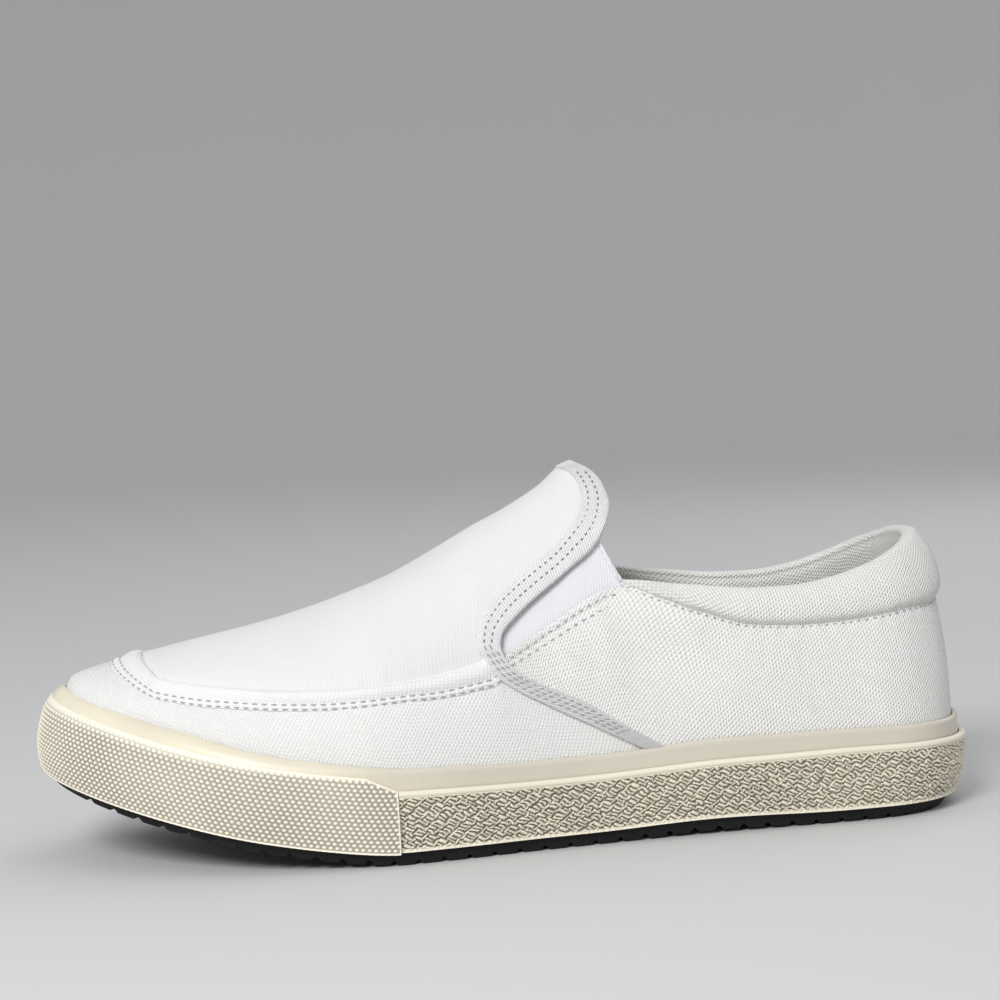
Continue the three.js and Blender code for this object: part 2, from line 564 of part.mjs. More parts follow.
// Hollow upper: the last's surface as an outer and an inner skin, joined at the opening and under the foot
function upper(material) {
  const top = ROWS.length - 1;
  const n = ribLoop.length;
  const base = [];
  const index = ribLoop.map((p, i) => ROWS.map((v, j) => {
    const r = p <= 1 ? p : 2 - p;
    if (j === top && p > 1 && r >= TONGUE_RIB) return null;
    base.push({ point: ribPoint(p, v), r, v });
    return base.length - 1;
  }));
  index.forEach((row, i) => { if (row[top] === null) row[top] = index[n - i][top]; });
  const skin = [];
  for (let i = 0; i < n; i += 1) {
    const next = (i + 1) % n;
    for (let j = 0; j < top; j += 1) {
      skin.push(...quad(index[i][j], index[i][j + 1], index[next][j + 1], index[next][j]));
    }
  }
  const faces = skin.filter(([a, b, c]) => a !== b && b !== c && c !== a);
  const normals = base.map(() => new THREE.Vector3());
  faces.forEach((face) => {
    const [a, b, c] = face.map((k) => base[k].point);
    const normal = b.clone().sub(a).cross(c.clone().sub(a));
    face.forEach((k) => normals[k].add(normal));
  });
  normals.forEach((normal) => normal.normalize());
  const outer = base.map(({ point, r, v }, k) => point.clone().addScaledVector(normals[k], outerStep(r, v)));
  const inner = base.map(({ point, r, v }, k) => point.clone().addScaledVector(normals[k], -innerStep(r, v)));
  const size = base.length;
  const points = [...outer, ...inner];
  const triangles = [...faces, ...faces.map(([a, b, c]) => [a + size, c + size, b + size])];
  for (let i = 0; i < n; i += 1) {
    const a = index[i][0];
    const b = index[(i + 1) % n][0];
    triangles.push(...quad(a, b, b + size, a + size));
  }
  const opening = [
    ...between(REAR_RIBS, 0, REAR_RIBS),
    ...between(n - 1, n - REAR_RIBS + 1, REAR_RIBS - 2),
  ].map((i) => index[i]);
  const lips = opening.map((row) => {
    const k = row[top];
    const rise = base[k].point.clone().sub(base[row[top - 2]].point).normalize();
    const width = outer[k].distanceTo(inner[k]);
    points.push(outer[k].clone().add(inner[k]).multiplyScalar(0.5).addScaledVector(rise, width * 0.3));
    return points.length - 1;
  });
  opening.forEach((row, i) => {
    const k = (i + 1) % opening.length;
    const next = opening[k];
    triangles.push(...quad(row[top], next[top], lips[k], lips[i]));
    triangles.push(...quad(lips[i], lips[k], next[top] + size, row[top] + size));
  });
  return body('upper', points, orient(triangles), material);
}

// Folded tape over the vamp's edge: a strip that keeps its distance from the last
function vampBinding(material) {
  const path = between(0, 2, 2 * TAPE_STEPS);
  const level = (p, a, height) => {
    const e = 0.003;
    const along = last(p + e, a).sub(last(p - e, a));
    const up = a > 1 - 2 * e ? new THREE.Vector3(0, p > 1 ? 1 : -1, 0) : last(p, a + e).sub(last(p, a - Math.min(e, a)));
    return last(p, a).addScaledVector(up.cross(along).normalize(), height);
  };
  const sections = path.map((t) => {
    const k = t <= 1 ? t : 2 - t;
    const edges = [[tape.rear(k), tape.rearUp(k)], [tape.front(k), tape.frontUp(k)]];
    const place = (w, height) => {
      const s = edges[0][0] + (edges[1][0] - edges[0][0]) * w;
      const a = edges[0][1] + (edges[1][1] - edges[0][1]) * w;
      return level(t <= 1 ? s : 2 - s, a, height);
    };
    const high = GAP + TAPE_THICKNESS;
    return [place(0, GAP), place(0, high - 0.3), place(0.5, high), place(1, high - 0.3), place(1, GAP), place(0.5, GAP)];
  });
  const flat = [[0, 0], [0, 1], [1, 1.2], [2, 1], [2, 0], [1, 0]].map(([x, y]) => new THREE.Vector2(x, y));
  return sweep('vamp_binding', sections, flat, false, material);
}

const finish = (color, roughness) => new THREE.MeshStandardMaterial({ color, roughness, metalness: 0 });

const shoe = new THREE.Group();
shoe.name = 'slip_on_sneaker';
shoe.add(await outsole(finish('#18181a', 0.75)));
shoe.add(slab('midsole', [SOLE_TOP, (SOLE_TOP + MIDSOLE_TOP) / 2, MIDSOLE_TOP], -UPPER_INSET - GAP / 2, finish('#e6e0d2', 0.85)));
shoe.add(foxing(finish('#dcd4c2', 0.55)));
shoe.add(sidewallBand(finish('#e0d9c8', 0.6)));
shoe.add(toeBumper(finish('#e4ddcd', 0.6)));
shoe.add(upper(finish('#e8e9eb', 0.9)));
shoe.add(vampBinding(finish('#dededf', 0.85)));
const insoleHeights = [SKIRT_BOTTOM, SKIRT_BOTTOM + INSOLE_THICKNESS];
shoe.add(slab('insole', insoleHeights, -UPPER_INSET - WALL - 2 * GAP, finish('#e6e2d8', 0.9)));

const box = new THREE.Box3().setFromObject(shoe);
const middle = box.getCenter(new THREE.Vector3());
shoe.children.forEach((mesh) => mesh.geometry.translate(-middle.x, -middle.y, -box.min.z));

export default shoe;
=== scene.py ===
"""Slip-on sneaker: its canvas, tape, padded collar and rubber, with the camera and light."""

import math
from types import SimpleNamespace

import bpy
import numpy as np
from mathutils import Matrix, Vector


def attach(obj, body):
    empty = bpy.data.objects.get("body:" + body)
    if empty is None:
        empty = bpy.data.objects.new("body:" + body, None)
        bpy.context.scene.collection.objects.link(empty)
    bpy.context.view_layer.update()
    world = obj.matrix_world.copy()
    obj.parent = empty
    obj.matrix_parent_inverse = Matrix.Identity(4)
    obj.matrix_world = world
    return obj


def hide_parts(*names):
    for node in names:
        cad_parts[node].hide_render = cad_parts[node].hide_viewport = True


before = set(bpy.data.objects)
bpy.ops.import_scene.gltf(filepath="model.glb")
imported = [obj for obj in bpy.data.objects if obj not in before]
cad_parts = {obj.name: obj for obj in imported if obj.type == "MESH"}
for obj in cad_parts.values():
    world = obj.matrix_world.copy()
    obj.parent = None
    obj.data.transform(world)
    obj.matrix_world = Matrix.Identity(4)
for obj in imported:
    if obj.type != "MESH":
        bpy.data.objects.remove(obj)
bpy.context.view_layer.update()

bl_info = {
    "name": "Slip-on sneaker",
    "version": (1, 0, 0),
    "blender": (4, 5, 0),
    "location": "View3D > Sidebar > Shoe",
    "description": "Builds the visible pieces of a left canvas slip-on sneaker round its solids",
    "category": "Object",
}

# The last, in millimetres: heel at X 0, toe at high X, outer side at high Y, floor at Z 0.
MM = 0.001
MIDDLE = np.array([149.6677, -0.7073, 0.0])
LENGTH, BALL_WIDTH, INSTEP_HEIGHT = 300.0, 108.0, 116.0
GAP = 0.3
SOLE_TOP, SKIRT_BOTTOM = 4.3, 12.0
TOE_SPRING, ARCH_RISE = 24.5, 1.0
FOXING_HEIGHT, BAND_HEIGHT, BUMPER_HEIGHT = 29.5, 22.0, 26.4
FOXING_OUTER = -2.3
UPPER_INSET = 4.1
BUMPER_PROUD = 0.9
BUMPER_START, BUMPER_SLANT = 0.629, 0.032
SIDE_UNDERCUT, UNDERCUT_HEIGHT = 6.0, 18.0
TOE_LEAN, LEAN_FROM = 7.5, 6.0
HEEL_ROUND, TOE_ROUND = 0.115, 0.24
HEEL_POLE, TOE_POLE, HEEL_FAN, TOE_FAN = 0.127, 0.873, 0.3, 0.7
WALL = 2.2
GORE_RECESS = 1.5
INSOLE_EDGE = 6.8
COLLAR_END = 0.3648
BODY = LENGTH - BUMPER_PROUD
# Notches along the tread's edge, the band's cords and the cords across them, and the bumper's studs
NOTCH_START, NOTCH_END, NOTCH_PITCH, NOTCH_HALF, NOTCH_DEPTH = 26, LENGTH * 0.955, 7.85, 1.3, 1.25
CORD_PITCH, CORD_SLOPE, CORD_LENGTH, CROSS_PITCH, CROSS_SLOPE = 1.36, 0.58, 4.1, 1.6, 0.7
STUD_PITCH, STUD_ROWS, STUD_SLANT = 1.92, 2.54, 0.24
BAND_RIM, BACK_OFFSET = 1.9, -1.95


def clamp(x):
    return np.clip(x, 0, 1)


def curve(at, values):
    """Smooth curve through the values that never overshoots them."""
    steps = np.diff(at)
    rises = np.diff(values) / steps
    slopes = np.zeros(len(at))
    slopes[0], slopes[-1] = rises[0], rises[-1]
    for k in range(1, len(at) - 1):
        if rises[k - 1] * rises[k] > 0:
            before, after = 2 * steps[k] + steps[k - 1], steps[k] + 2 * steps[k - 1]
            slopes[k] = (before + after) / (before / rises[k - 1] + after / rises[k])

    def value(x):
        x = np.asarray(x, float)
        k = np.clip(np.searchsorted(at, x, side="right") - 1, 0, len(at) - 2)
        t = clamp((x - at[k]) / steps[k])
        r = 1 - t
        ends = (1 + 2 * t) * r * r * values[k] + t * t * (3 - 2 * t) * values[k + 1]
        return ends + t * r * r * steps[k] * slopes[k] - t * t * r * steps[k] * slopes[k + 1]

    return value


def ramp(at, values):
    """Straight lines through the values."""
    return lambda x: np.interp(x, at, values)


def table(names, rows, make=curve):
    """One function of the first column for each other column."""
    columns = np.array(rows, float).T
    made = {n: make(columns[0], c) for n, c in zip(names.split()[1:], columns[1:])}
    return SimpleNamespace(**made)


SECTION = table("at half centre foxing band under lean bulge", [
    (0.00, 0.715, 0.000, 0.976, 1.035, 1.00, 0.05, 2.00),
    (0.06, 0.717, 0.001, 0.985, 1.075, 0.80, 0.05, 2.00),
    (0.15, 0.723, 0.003, 1.000, 1.085, 0.30, 0.08, 2.00),
    (0.26, 0.738, 0.010, 0.983, 1.030, 0.20, 0.10, 2.00),
    (0.37, 0.760, 0.018, 0.942, 0.998, 0.15, 0.12, 1.95),
    (0.48, 0.825, 0.021, 0.932, 0.990, 0.15, 0.14, 1.95),
    (0.58, 0.935, 0.012, 0.965, 1.015, 0.15, 0.18, 1.95),
    (0.66, 1.000, -0.002, 0.998, 1.040, 0.15, 0.25, 1.95),
    (0.76, 0.985, -0.020, 1.005, 1.050, 0.20, 0.45, 1.85),
    (0.88, 0.900, -0.043, 1.037, 1.050, 0.30, 0.80, 1.60),
    (1.00, 0.800, -0.062, 1.068, 1.050, 0.40, 1.00, 1.35),
])

RIDGE = table("at top", [
    (0.130, 0.966), (0.250, 0.985), (0.340, 1.006), (0.390, 1.022), (0.422, 1.000), (0.453, 0.937),
    (0.520, 0.841), (0.607, 0.726), (0.693, 0.641), (0.757, 0.597), (0.842, 0.5535), (0.873, 0.5345),
])

# Seam, upper line and top edge that each rib of the last crosses: share and arch share
LINES = table("at seam seam_up welt welt_up edge edge_up", [
    (0.000, 0.000, 0.306, 0.000, 0.413, 0.000, 0.500),
    (0.040, 0.040, 0.302, 0.040, 0.408, 0.040, 0.495),
    (0.080, 0.080, 0.295, 0.080, 0.394, 0.080, 0.475),
    (0.120, 0.120, 0.290, 0.120, 0.375, 0.120, 0.445),
    (0.160, 0.160, 0.274, 0.160, 0.346, 0.160, 0.405),
    (0.200, 0.200, 0.262, 0.200, 0.321, 0.200, 0.370),
    (0.240, 0.240, 0.258, 0.240, 0.309, 0.240, 0.351),
    (0.280, 0.280, 0.263, 0.280, 0.309, 0.280, 0.348),
    (0.328, 0.333, 0.309, 0.338, 0.337, 0.344, 0.371),
    (0.349, 0.368, 0.352, 0.372, 0.369, 0.378, 0.389),
    (0.363, 0.392, 0.376, 0.395, 0.386, 0.398, 0.395),
    (0.380, 0.414, 0.375, 0.407, 0.433, 0.410, 0.447),
    (0.395, 0.427, 0.365, 0.418, 0.485, 0.416, 0.509),
    (0.406, 0.440, 0.356, 0.430, 0.476, 0.405, 0.565),
    (0.418, 0.451, 0.352, 0.443, 0.464, 0.401, 0.629),
    (0.430, 0.461, 0.346, 0.454, 0.458, 0.405, 0.706),
    (0.441, 0.472, 0.338, 0.466, 0.446, 0.414, 0.801),
    (0.447, 0.4765, 0.333, 0.472, 0.439, 0.4265, 0.900),
    (0.453, 0.481, 0.328, 0.478, 0.431, 0.430, 1.000),
    (0.476, 0.495, 0.312, 0.496, 0.403, 0.462, 1.000),
    (0.500, 0.508, 0.290, 0.514, 0.353, 0.491, 1.000),
    (0.506, 0.510, 0.235, 0.519, 0.336, 0.500, 1.000),
    (0.520, 0.519, 0.222, 0.531, 0.296, 0.520, 1.000),
    (0.556, 0.556, 0.222, 0.566, 0.298, 0.559, 1.000),
    (0.606, 0.605, 0.240, 0.613, 0.313, 0.606, 1.000),
    (0.658, 0.660, 0.244, 0.665, 0.334, 0.658, 1.000),
    (0.707, 0.709, 0.258, 0.712, 0.361, 0.707, 1.000),
    (0.753, 0.758, 0.268, 0.754, 0.392, 0.753, 1.000),
    (0.790, 0.792, 0.262, 0.790, 0.414, 0.790, 1.000),
    (0.840, 0.840, 0.268, 0.840, 0.452, 0.840, 1.000),
    (0.860, 0.860, 0.311, 0.860, 0.532, 0.860, 1.000),
    (0.880, 0.880, 0.369, 0.880, 0.614, 0.880, 1.000),
    (0.900, 0.900, 0.425, 0.900, 0.690, 0.900, 1.000),
    (0.920, 0.920, 0.475, 0.920, 0.750, 0.920, 1.000),
    (0.940, 0.940, 0.517, 0.940, 0.793, 0.940, 1.000),
    (0.960, 0.960, 0.545, 0.960, 0.820, 0.960, 1.000),
    (0.980, 0.980, 0.561, 0.980, 0.835, 0.980, 1.000),
    (1.000, 1.000, 0.566, 1.000, 0.839, 1.000, 1.000),
])

# Both edges of the tape, from the foxing up the vamp, round the gore's tip and over the tongue
TAPE = table("at rear rear_up front front_up", [
    (0.000, 0.381, 0.020, 0.401, 0.020), (0.059, 0.409, 0.069, 0.427, 0.060),
    (0.118, 0.443, 0.135, 0.462, 0.121), (0.176, 0.478, 0.200, 0.496, 0.190),
    (0.235, 0.496, 0.244, 0.515, 0.245), (0.294, 0.507, 0.295, 0.525, 0.303),
    (0.353, 0.510, 0.333, 0.530, 0.351), (0.412, 0.508, 0.365, 0.528, 0.405),
    (0.471, 0.492, 0.409, 0.515, 0.473), (0.529, 0.473, 0.440, 0.496, 0.513),
    (0.588, 0.454, 0.459, 0.472, 0.543), (0.647, 0.434, 0.471, 0.451, 0.563),
    (0.706, 0.416, 0.507, 0.436, 0.591), (0.765, 0.405, 0.567, 0.427, 0.631),
    (0.824, 0.401, 0.629, 0.425, 0.691), (0.882, 0.405, 0.706, 0.427, 0.759),
    (0.941, 0.414, 0.802, 0.433, 0.850), (0.971, 0.4265, 0.900, 0.4395, 0.925),
    (1.000, 0.430, 1.000, 0.441, 1.000),
])

# Fullness of the collar roll, and how much apron there is, at each rib
ROLL = ramp([0, 0.29, 0.328, 0.350, 0.3648, 1], [1, 0.95, 0.72, 0.36, 0.0, 0.0])
APRON = ramp([0, 0.503, 0.52, 1], [0, 0, 1, 1])

# Height of the plug and its welt above the last, from the apron's edge (1) past the plug line (2)
WELT = curve(
    np.array([1.0, 1.06, 1.16, 1.28, 1.38, 1.50, 1.64, 1.78, 1.90, 1.97, 2.02, 2.08, 2.20, 2.40, 3.0]),
    np.array([0.30, 0.42, 0.78, 0.66, 0.95, 1.45, 1.80, 1.85, 1.55, 0.95, 0.15, 0.70, 0.90, 0.86, 0.85]),
)


def half_width(x):
    q = x / BODY
    heel = (1 - clamp(1 - q / HEEL_ROUND) ** 2.2) ** (1 / 2.2)
    toe = clamp(1 - clamp((q - 1 + TOE_ROUND) / TOE_ROUND) ** 2.1) ** (1 / 2.1)
    return BALL_WIDTH / 2 * SECTION.half(q) * heel * toe


def centre_shift(x):
    return BALL_WIDTH * SECTION.centre(x / BODY)


OUTLINE_X = BODY * (1 - np.cos(np.linspace(0, np.pi, 2001))) / 2
OUTLINE_W = half_width(OUTLINE_X)
OUTLINE_AT = np.append(0, np.cumsum(np.hypot(np.diff(OUTLINE_X), np.diff(OUTLINE_W))))
HALF_LOOP = OUTLINE_AT[-1]
OUTLINE_AT = OUTLINE_AT / HALF_LOOP
BUMPER_AT, SLANT_AT = np.interp(
    [BUMPER_START * LENGTH, (BUMPER_START + BUMPER_SLANT) * LENGTH], OUTLINE_X, OUTLINE_AT)


def fold(p):
    """Share of the half outline, and 1 on the outer side or -1 on the inner side."""
    loop = np.mod(p, 2.0)
    return np.where(loop <= 1, loop, 2 - loop), np.where(loop <= 1, 1.0, -1.0)


def outline(p):
    share, hand = fold(p)
    x = np.interp(share, OUTLINE_AT, OUTLINE_X)
    return x, centre_shift(x) + hand * np.interp(share, OUTLINE_AT, OUTLINE_W)


def outward(p):
    (xa, ya), (xb, yb) = outline(p - 0.004), outline(p + 0.004)
    span = np.hypot(xb - xa, yb - ya)
    return -(yb - ya) / span, (xb - xa) / span


def floor_height(x):
    q = x / BODY
    spring = TOE_SPRING * np.clip((q - 0.62) / 0.38, 0, None) ** 1.5
    return spring + ARCH_RISE * np.sin(np.pi * clamp((q - 0.16) / 0.28)) ** 2


def side(p, height, offset):
    """Point of the rubber side at a height above the floor line, moved outward."""
    p, height, offset = np.broadcast_arrays(p, height, offset)
    x, y = outline(p)
    nx, ny = outward(p)
    q = x / BODY
    under = SIDE_UNDERCUT * SECTION.under(q) * clamp(1 - height / UNDERCUT_HEIGHT) ** 2
    leaned = np.clip(height - LEAN_FROM, 0, None) / (FOXING_HEIGHT * 1.068 - LEAN_FROM)
    moved = offset - under - TOE_LEAN * SECTION.lean(q) * leaned ** 2
    return np.stack([x + nx * moved, y + ny * moved, floor_height(x) + height], -1)


def foxing_top(p):
    return FOXING_HEIGHT * SECTION.foxing(outline(p)[0] / BODY)


def last(p, a):
    """Point of the last above the foxing: rib share and arch share up to the top line."""
    p, a = np.broadcast_arrays(np.asarray(p, float), np.asarray(a, float))
    q = outline(p)[0] / BODY
    base = side(p, foxing_top(p), -UPPER_INSET)
    heel_pull = HEEL_POLE * np.clip(1 - q / HEEL_FAN, 0, None) ** 2
    toe_pull = (1 - TOE_POLE) * np.clip((q - TOE_FAN) / (1 - TOE_FAN), 0, None) ** 2
    top = q + heel_pull - toe_pull
    angle = clamp(a) * np.pi / 2
    inward = 1 - clamp(np.cos(angle)) ** (2 / SECTION.bulge(q))
    up = np.sin(angle) ** (2 / SECTION.bulge(q))
    head = np.stack([top * BODY, centre_shift(top * BODY), INSTEP_HEIGHT * RIDGE.top(top)], -1)
    share = np.stack([inward, inward, up], -1)
    return base + (head - base) * share


def rib_share(r, v):
    """Share and arch share of a place on a rib: 0 foxing, 1 seam, 2 upper line, 3 top edge."""
    r, v = np.broadcast_arrays(np.asarray(r, float), np.asarray(v, float))
    v = np.clip(v, 0, 3)
    stops = [(r, 0 * r), (LINES.seam(r), LINES.seam_up(r)), (LINES.welt(r), LINES.welt_up(r)),
             (LINES.edge(r), LINES.edge_up(r))]
    s, a = stops[0]
    for k in range(3):
        t = clamp(v - k)
        s = s + (stops[k + 1][0] - stops[k][0]) * t
        a = a + (stops[k + 1][1] - stops[k][1]) * t
    return s, a


def rib_point(p, v):
    p, v = np.broadcast_arrays(np.asarray(p, float), np.asarray(v, float))
    r, hand = fold(p)
    s, a = rib_share(r, v)
    top = foxing_top(p)
    skirt = side(p, top + (top - SKIRT_BOTTOM) * np.clip(v, -1, 0), -UPPER_INSET)
    return np.where((v < 0)[..., None], skirt, last(np.where(hand > 0, s, 2 - s), a))


def unit(vectors):
    return vectors / np.maximum(np.linalg.norm(vectors, axis=-1, keepdims=True), 1e-12)


def rib_normal(p, v, e=0.002):
    along = rib_point(p + e, v) - rib_point(p - e, v)
    rise = rib_point(p, np.minimum(v + e, 3)) - rib_point(p, np.maximum(v, -1 + e) - e)
    return unit(np.cross(rise, along))


def over_rib(p, v, height):
    """Point at a height above a place on a rib."""
    return rib_point(p, v) + rib_normal(p, v) * height[..., None]


def over_last(p, a, height):
    """Point at a height above the last, along the last's own normal."""
    e = 0.003
    along = last(p + e, a) - last(p - e, a)
    up = last(p, np.minimum(a + e, 1)) - last(p, np.maximum(a - e, 0))
    flat = np.stack([0 * p, np.where(fold(p)[1] < 0, 1.0, -1.0), 0 * p], -1)
    near = clamp((a - 0.97) / 0.025)[..., None]
    up = unit(up) * (1 - near) + flat * near
    return last(p, a) + unit(np.cross(up, along)) * height[..., None]


def grid_normals(points):
    """Normals of a grid of points, shared where its borders meet, turned away from its middle."""
    across = np.cross(points[1:, 1:] - points[:-1, :-1], points[:-1, 1:] - points[1:, :-1])
    keys = np.rint(points.reshape(-1, 3) * 1e4).astype(np.int64)
    _, owner = np.unique(keys, axis=0, return_inverse=True)
    owner = owner.reshape(points.shape[:2])
    total = np.zeros((owner.max() + 1, 3))
    for corner in (owner[1:, 1:], owner[:-1, :-1], owner[:-1, 1:], owner[1:, :-1]):
        np.add.at(total, corner.ravel(), across.reshape(-1, 3))
    normals = unit(total)[owner]
    middle = points.reshape(-1, 3).mean(0)
    return normals * np.sign(np.sum(normals * (points - middle)))


def raised(points, height):
    """A grid of points moved outward by a height."""
    return points + grid_normals(points) * height[..., None]


def ripple(u, w, seed, count=5):
    """Smooth uneven waves between about -1 and 1."""
    chance = np.random.default_rng(seed)
    total = 0
    for _ in range(count):
        angle, phase, pitch = chance.uniform(0, 2 * np.pi), chance.uniform(0, 6.28), chance.uniform(0.6, 1.6)
        total = total + np.sin((u * np.cos(angle) + w * np.sin(angle)) * pitch + phase)
    return total / count ** 0.5 / 1.2


def bump(x, centre, width):
    return np.exp(-((x - centre) / width) ** 2)


def tape_line():
    """Where the middle of the tape runs: places up the ribs, and the rib's share at each."""
    r, v = np.meshgrid(np.linspace(0.36, 0.56, 401), np.linspace(0, 3, 601))
    s, a = rib_share(r, v)
    t = np.linspace(0, 1, 60)
    middle_s, middle_a = (TAPE.rear(t) + TAPE.front(t)) / 2, (TAPE.rear_up(t) + TAPE.front_up(t)) / 2
    found = [np.argmin((s - x) ** 2 + (a - y) ** 2) for x, y in zip(middle_s, middle_a)]
    height = np.maximum.accumulate(v.ravel()[found] + np.arange(60) * 1e-6)
    return height, r.ravel()[found]


TAPE_V, TAPE_R = tape_line()


def tape_rib(v):
    return np.interp(v, TAPE_V, TAPE_R)


# Sizes and colours

def linear(*channels):
    """Colour of a screen value from 0 to 255, as light."""
    return tuple(c / 3294.6 if c <= 10 else ((c / 255 + 0.055) / 1.055) ** 2.4 for c in channels)


def size(name, description, default):
    return bpy.props.FloatProperty(name=name, description=description, default=default, min=0, unit="LENGTH")


def colour(name, description, *channels):
    return bpy.props.FloatVectorProperty(
        name=name, description=description, default=linear(*channels), subtype="COLOR", min=0, max=1)


class ShoeSizes(bpy.types.PropertyGroup):
    cloth: size("Cloth", "Thickness of one layer of canvas", 0.0009)
    gore: size("Gore", "Thickness of the elastic gore", 0.0014)
    tape: size("Tape", "Thickness of the folded tape", 0.0012)
    roll: size("Collar roll", "How far the padded collar stands out", 0.0032)
    padding: size("Collar padding", "How far the padded collar stands in", 0.0030)
    band_relief: size("Band relief", "Depth of the woven relief on the sidewall band", 0.0014)
    toe_relief: size("Toe relief", "Depth of the studs on the toe bumper", 0.0008)
    stitch_length: size("Stitch", "Length of one stitch", 0.0019)
    stitch_pitch: size("Stitch pitch", "Distance from stitch to stitch", 0.0030)
    insole: size("Insole", "Thickness of the insole", 0.0038)


class ShoeColours(bpy.types.PropertyGroup):
    quarter: colour("Quarter", "Canvas of the quarters", 249, 248, 245)
    vamp: colour("Vamp", "Canvas of the vamp's sides", 240, 240, 238)
    plug: colour("Plug", "Canvas of the plug and tongue", 226, 226, 225)
    gore: colour("Gore", "Elastic of the gores", 232, 233, 237)
    tape: colour("Tape", "Twill tape over the vamp's edge", 252, 250, 249)
    collar: colour("Collar", "Canvas of the padded collar", 249, 248, 244)
    lining: colour("Lining", "Lining cloth", 250, 248, 243)
    thread: colour("Thread", "Sewing thread", 176, 176, 180)
    foxing: colour("Foxing", "Smooth rubber strip", 213, 207, 192)
    band: colour("Band", "Rubber of the woven band", 240, 233, 214)
    bumper: colour("Bumper", "Rubber of the toe bumper", 250, 244, 226)
    outsole: colour("Outsole", "Rubber underfoot", 20, 20, 21)
    floor: colour("Floor", "Floor and backdrop", 212, 212, 212)


# Materials

class Value:
    """A socket of a material, with operators that add Math nodes."""

    def __init__(self, paint, socket):
        self.paint, self.socket = paint, socket

    def math(self, operation, *others):
        return self.paint.node("ShaderNodeMath", {"operation": operation}, dict(enumerate((self, *others))))

    def __add__(self, other):
        return self.math("ADD", other)

    def __sub__(self, other):
        return self.math("SUBTRACT", other)

    def __mul__(self, other):
        return self.math("MULTIPLY", other)

    def __rsub__(self, other):
        return self.paint.node("ShaderNodeMath", {"operation": "SUBTRACT"}, {0: other, 1: self})

    __radd__ = __add__

    def wave(self, pitch, shift=0.0):
        """Cosine from -1 to 1 with the given pitch."""
        return (self * (2 * math.pi / pitch) + shift).math("COSINE")

    def band(self, low, high):
        """0 below low, 1 above high and smooth between them."""
        settings = {"interpolation_type": "SMOOTHSTEP"}
        return self.paint.node("ShaderNodeMapRange", settings, {0: self, 1: low, 2: high, 3: 0.0, 4: 1.0})


class Paint:
    """One material that is put together node by node."""

    def __init__(self, name, **constants):
        self.material = bpy.data.materials.new(name)
        self.material.use_nodes = True
        self.tree = self.material.node_tree
        self.shader = self.tree.nodes["Principled BSDF"]
        for socket, value in constants.items():
            self.shader.inputs[socket.replace("_", " ")].default_value = value

    def node(self, kind, settings=None, inputs=None, output=0):
        made = self.tree.nodes.new(kind)
        for key, value in (settings or {}).items():
            setattr(made, key, value)
        for key, value in (inputs or {}).items():
            self.feed(made.inputs[key], value)
        return Value(self, made.outputs[output])

    def feed(self, socket, value):
        if isinstance(value, Value):
            self.tree.links.new(value.socket, socket)
        else:
            socket.default_value = (*value, 1.0) if socket.type == "RGBA" else value

    def uv(self, layer="Cloth"):
        """A layer of the cloth's coordinates, and its two numbers."""
        found = self.node("ShaderNodeUVMap", {"uv_map": layer})
        first = self.node("ShaderNodeSeparateXYZ", None, {0: found})
        return found, first, Value(self, first.socket.node.outputs[1])

    def noise(self, vector, scale, detail=2.0, roughness=0.5, stretch=None):
        if stretch:
            vector = self.node("ShaderNodeMapping", None, {"Vector": vector, "Scale": stretch})
        inputs = {"Vector": vector, "Scale": scale, "Detail": detail, "Roughness": roughness}
        return self.node("ShaderNodeTexNoise", None, inputs)

    def place(self):
        return self.node("ShaderNodeTexCoord", None, None, "Object")

    def mix(self, factor, a, b):
        return self.node("ShaderNodeMix", {"data_type": "RGBA"}, {0: factor, 6: a, 7: b}, 2)

    def bump(self, height, distance):
        return self.node("ShaderNodeBump", None, {"Height": height, "Distance": distance, "Strength": 1.0})

    def finish(self, **links):
        for name, value in links.items():
            self.feed(self.shader.inputs[name.replace("_", " ")], value)
        return self.material


def shade(tone, factor):
    """A colour made darker or lighter."""
    return tuple(min(c * factor, 1.0) for c in tone)


def cloth_finish(name, tone, weave, depth, stains=0.0, dark=0.7):
    """Woven cloth: weave is a function of the two cloth coordinates that gives its height."""
    paint = Paint(name, Sheen_Weight=0.12, Sheen_Roughness=0.5, Specular_IOR_Level=0.25)
    vector, u, w = paint.uv()
    height = weave(paint, u, w)
    place = paint.place()
    broad = paint.noise(place, 28.0, 3.0)
    slub = paint.noise(vector, 0.55, 2.0, 0.6)
    # Painted shade: the low places of the weave are darkened by the factor dark, as shade between the
    # threads.
    base = paint.mix(height.band(-1.0, 0.3), shade(tone, dark), tone)
    base = paint.mix(broad.band(0.35, 0.7) * 0.5, base, shade(tone, 0.93))
    base = paint.mix(slub.band(0.55, 0.75) * 0.3, base, shade(tone, 0.9))
    if stains:
        spots = paint.noise(place, 46.0, 4.0, 0.6).band(0.56, 0.72) * stains
        base = paint.mix(spots, base, (0.62, 0.5, 0.33))
    fuzz = paint.noise(vector, 3.0, 2.0)
    normal = paint.bump(height * 0.5 + fuzz * 0.4 + slub * 0.4, depth)
    return paint.finish(Base_Color=base, Roughness=broad * 0.06 + 0.89, Normal=normal)


def canvas(turn, columns=1.95, dots=1.3):
    """Canvas: upright columns of dots, each column half a dot from the next, turned by an angle."""
    cos, sin = math.cos(math.radians(turn)), math.sin(math.radians(turn))

    def weave(paint, u, w):
        waver = paint.noise(paint.uv()[0], 0.09, 2.0) * 2.0
        across = (w * sin - u * cos + waver) * (2 * math.pi / columns)
        along = (w * cos + u * sin + waver) * (-2 * math.pi / dots)
        pairs = (across * 2).math("COSINE") * 0.45
        return pairs + (across + along).math("COSINE") * 0.37 + (across - along).math("COSINE") * 0.18
    return weave


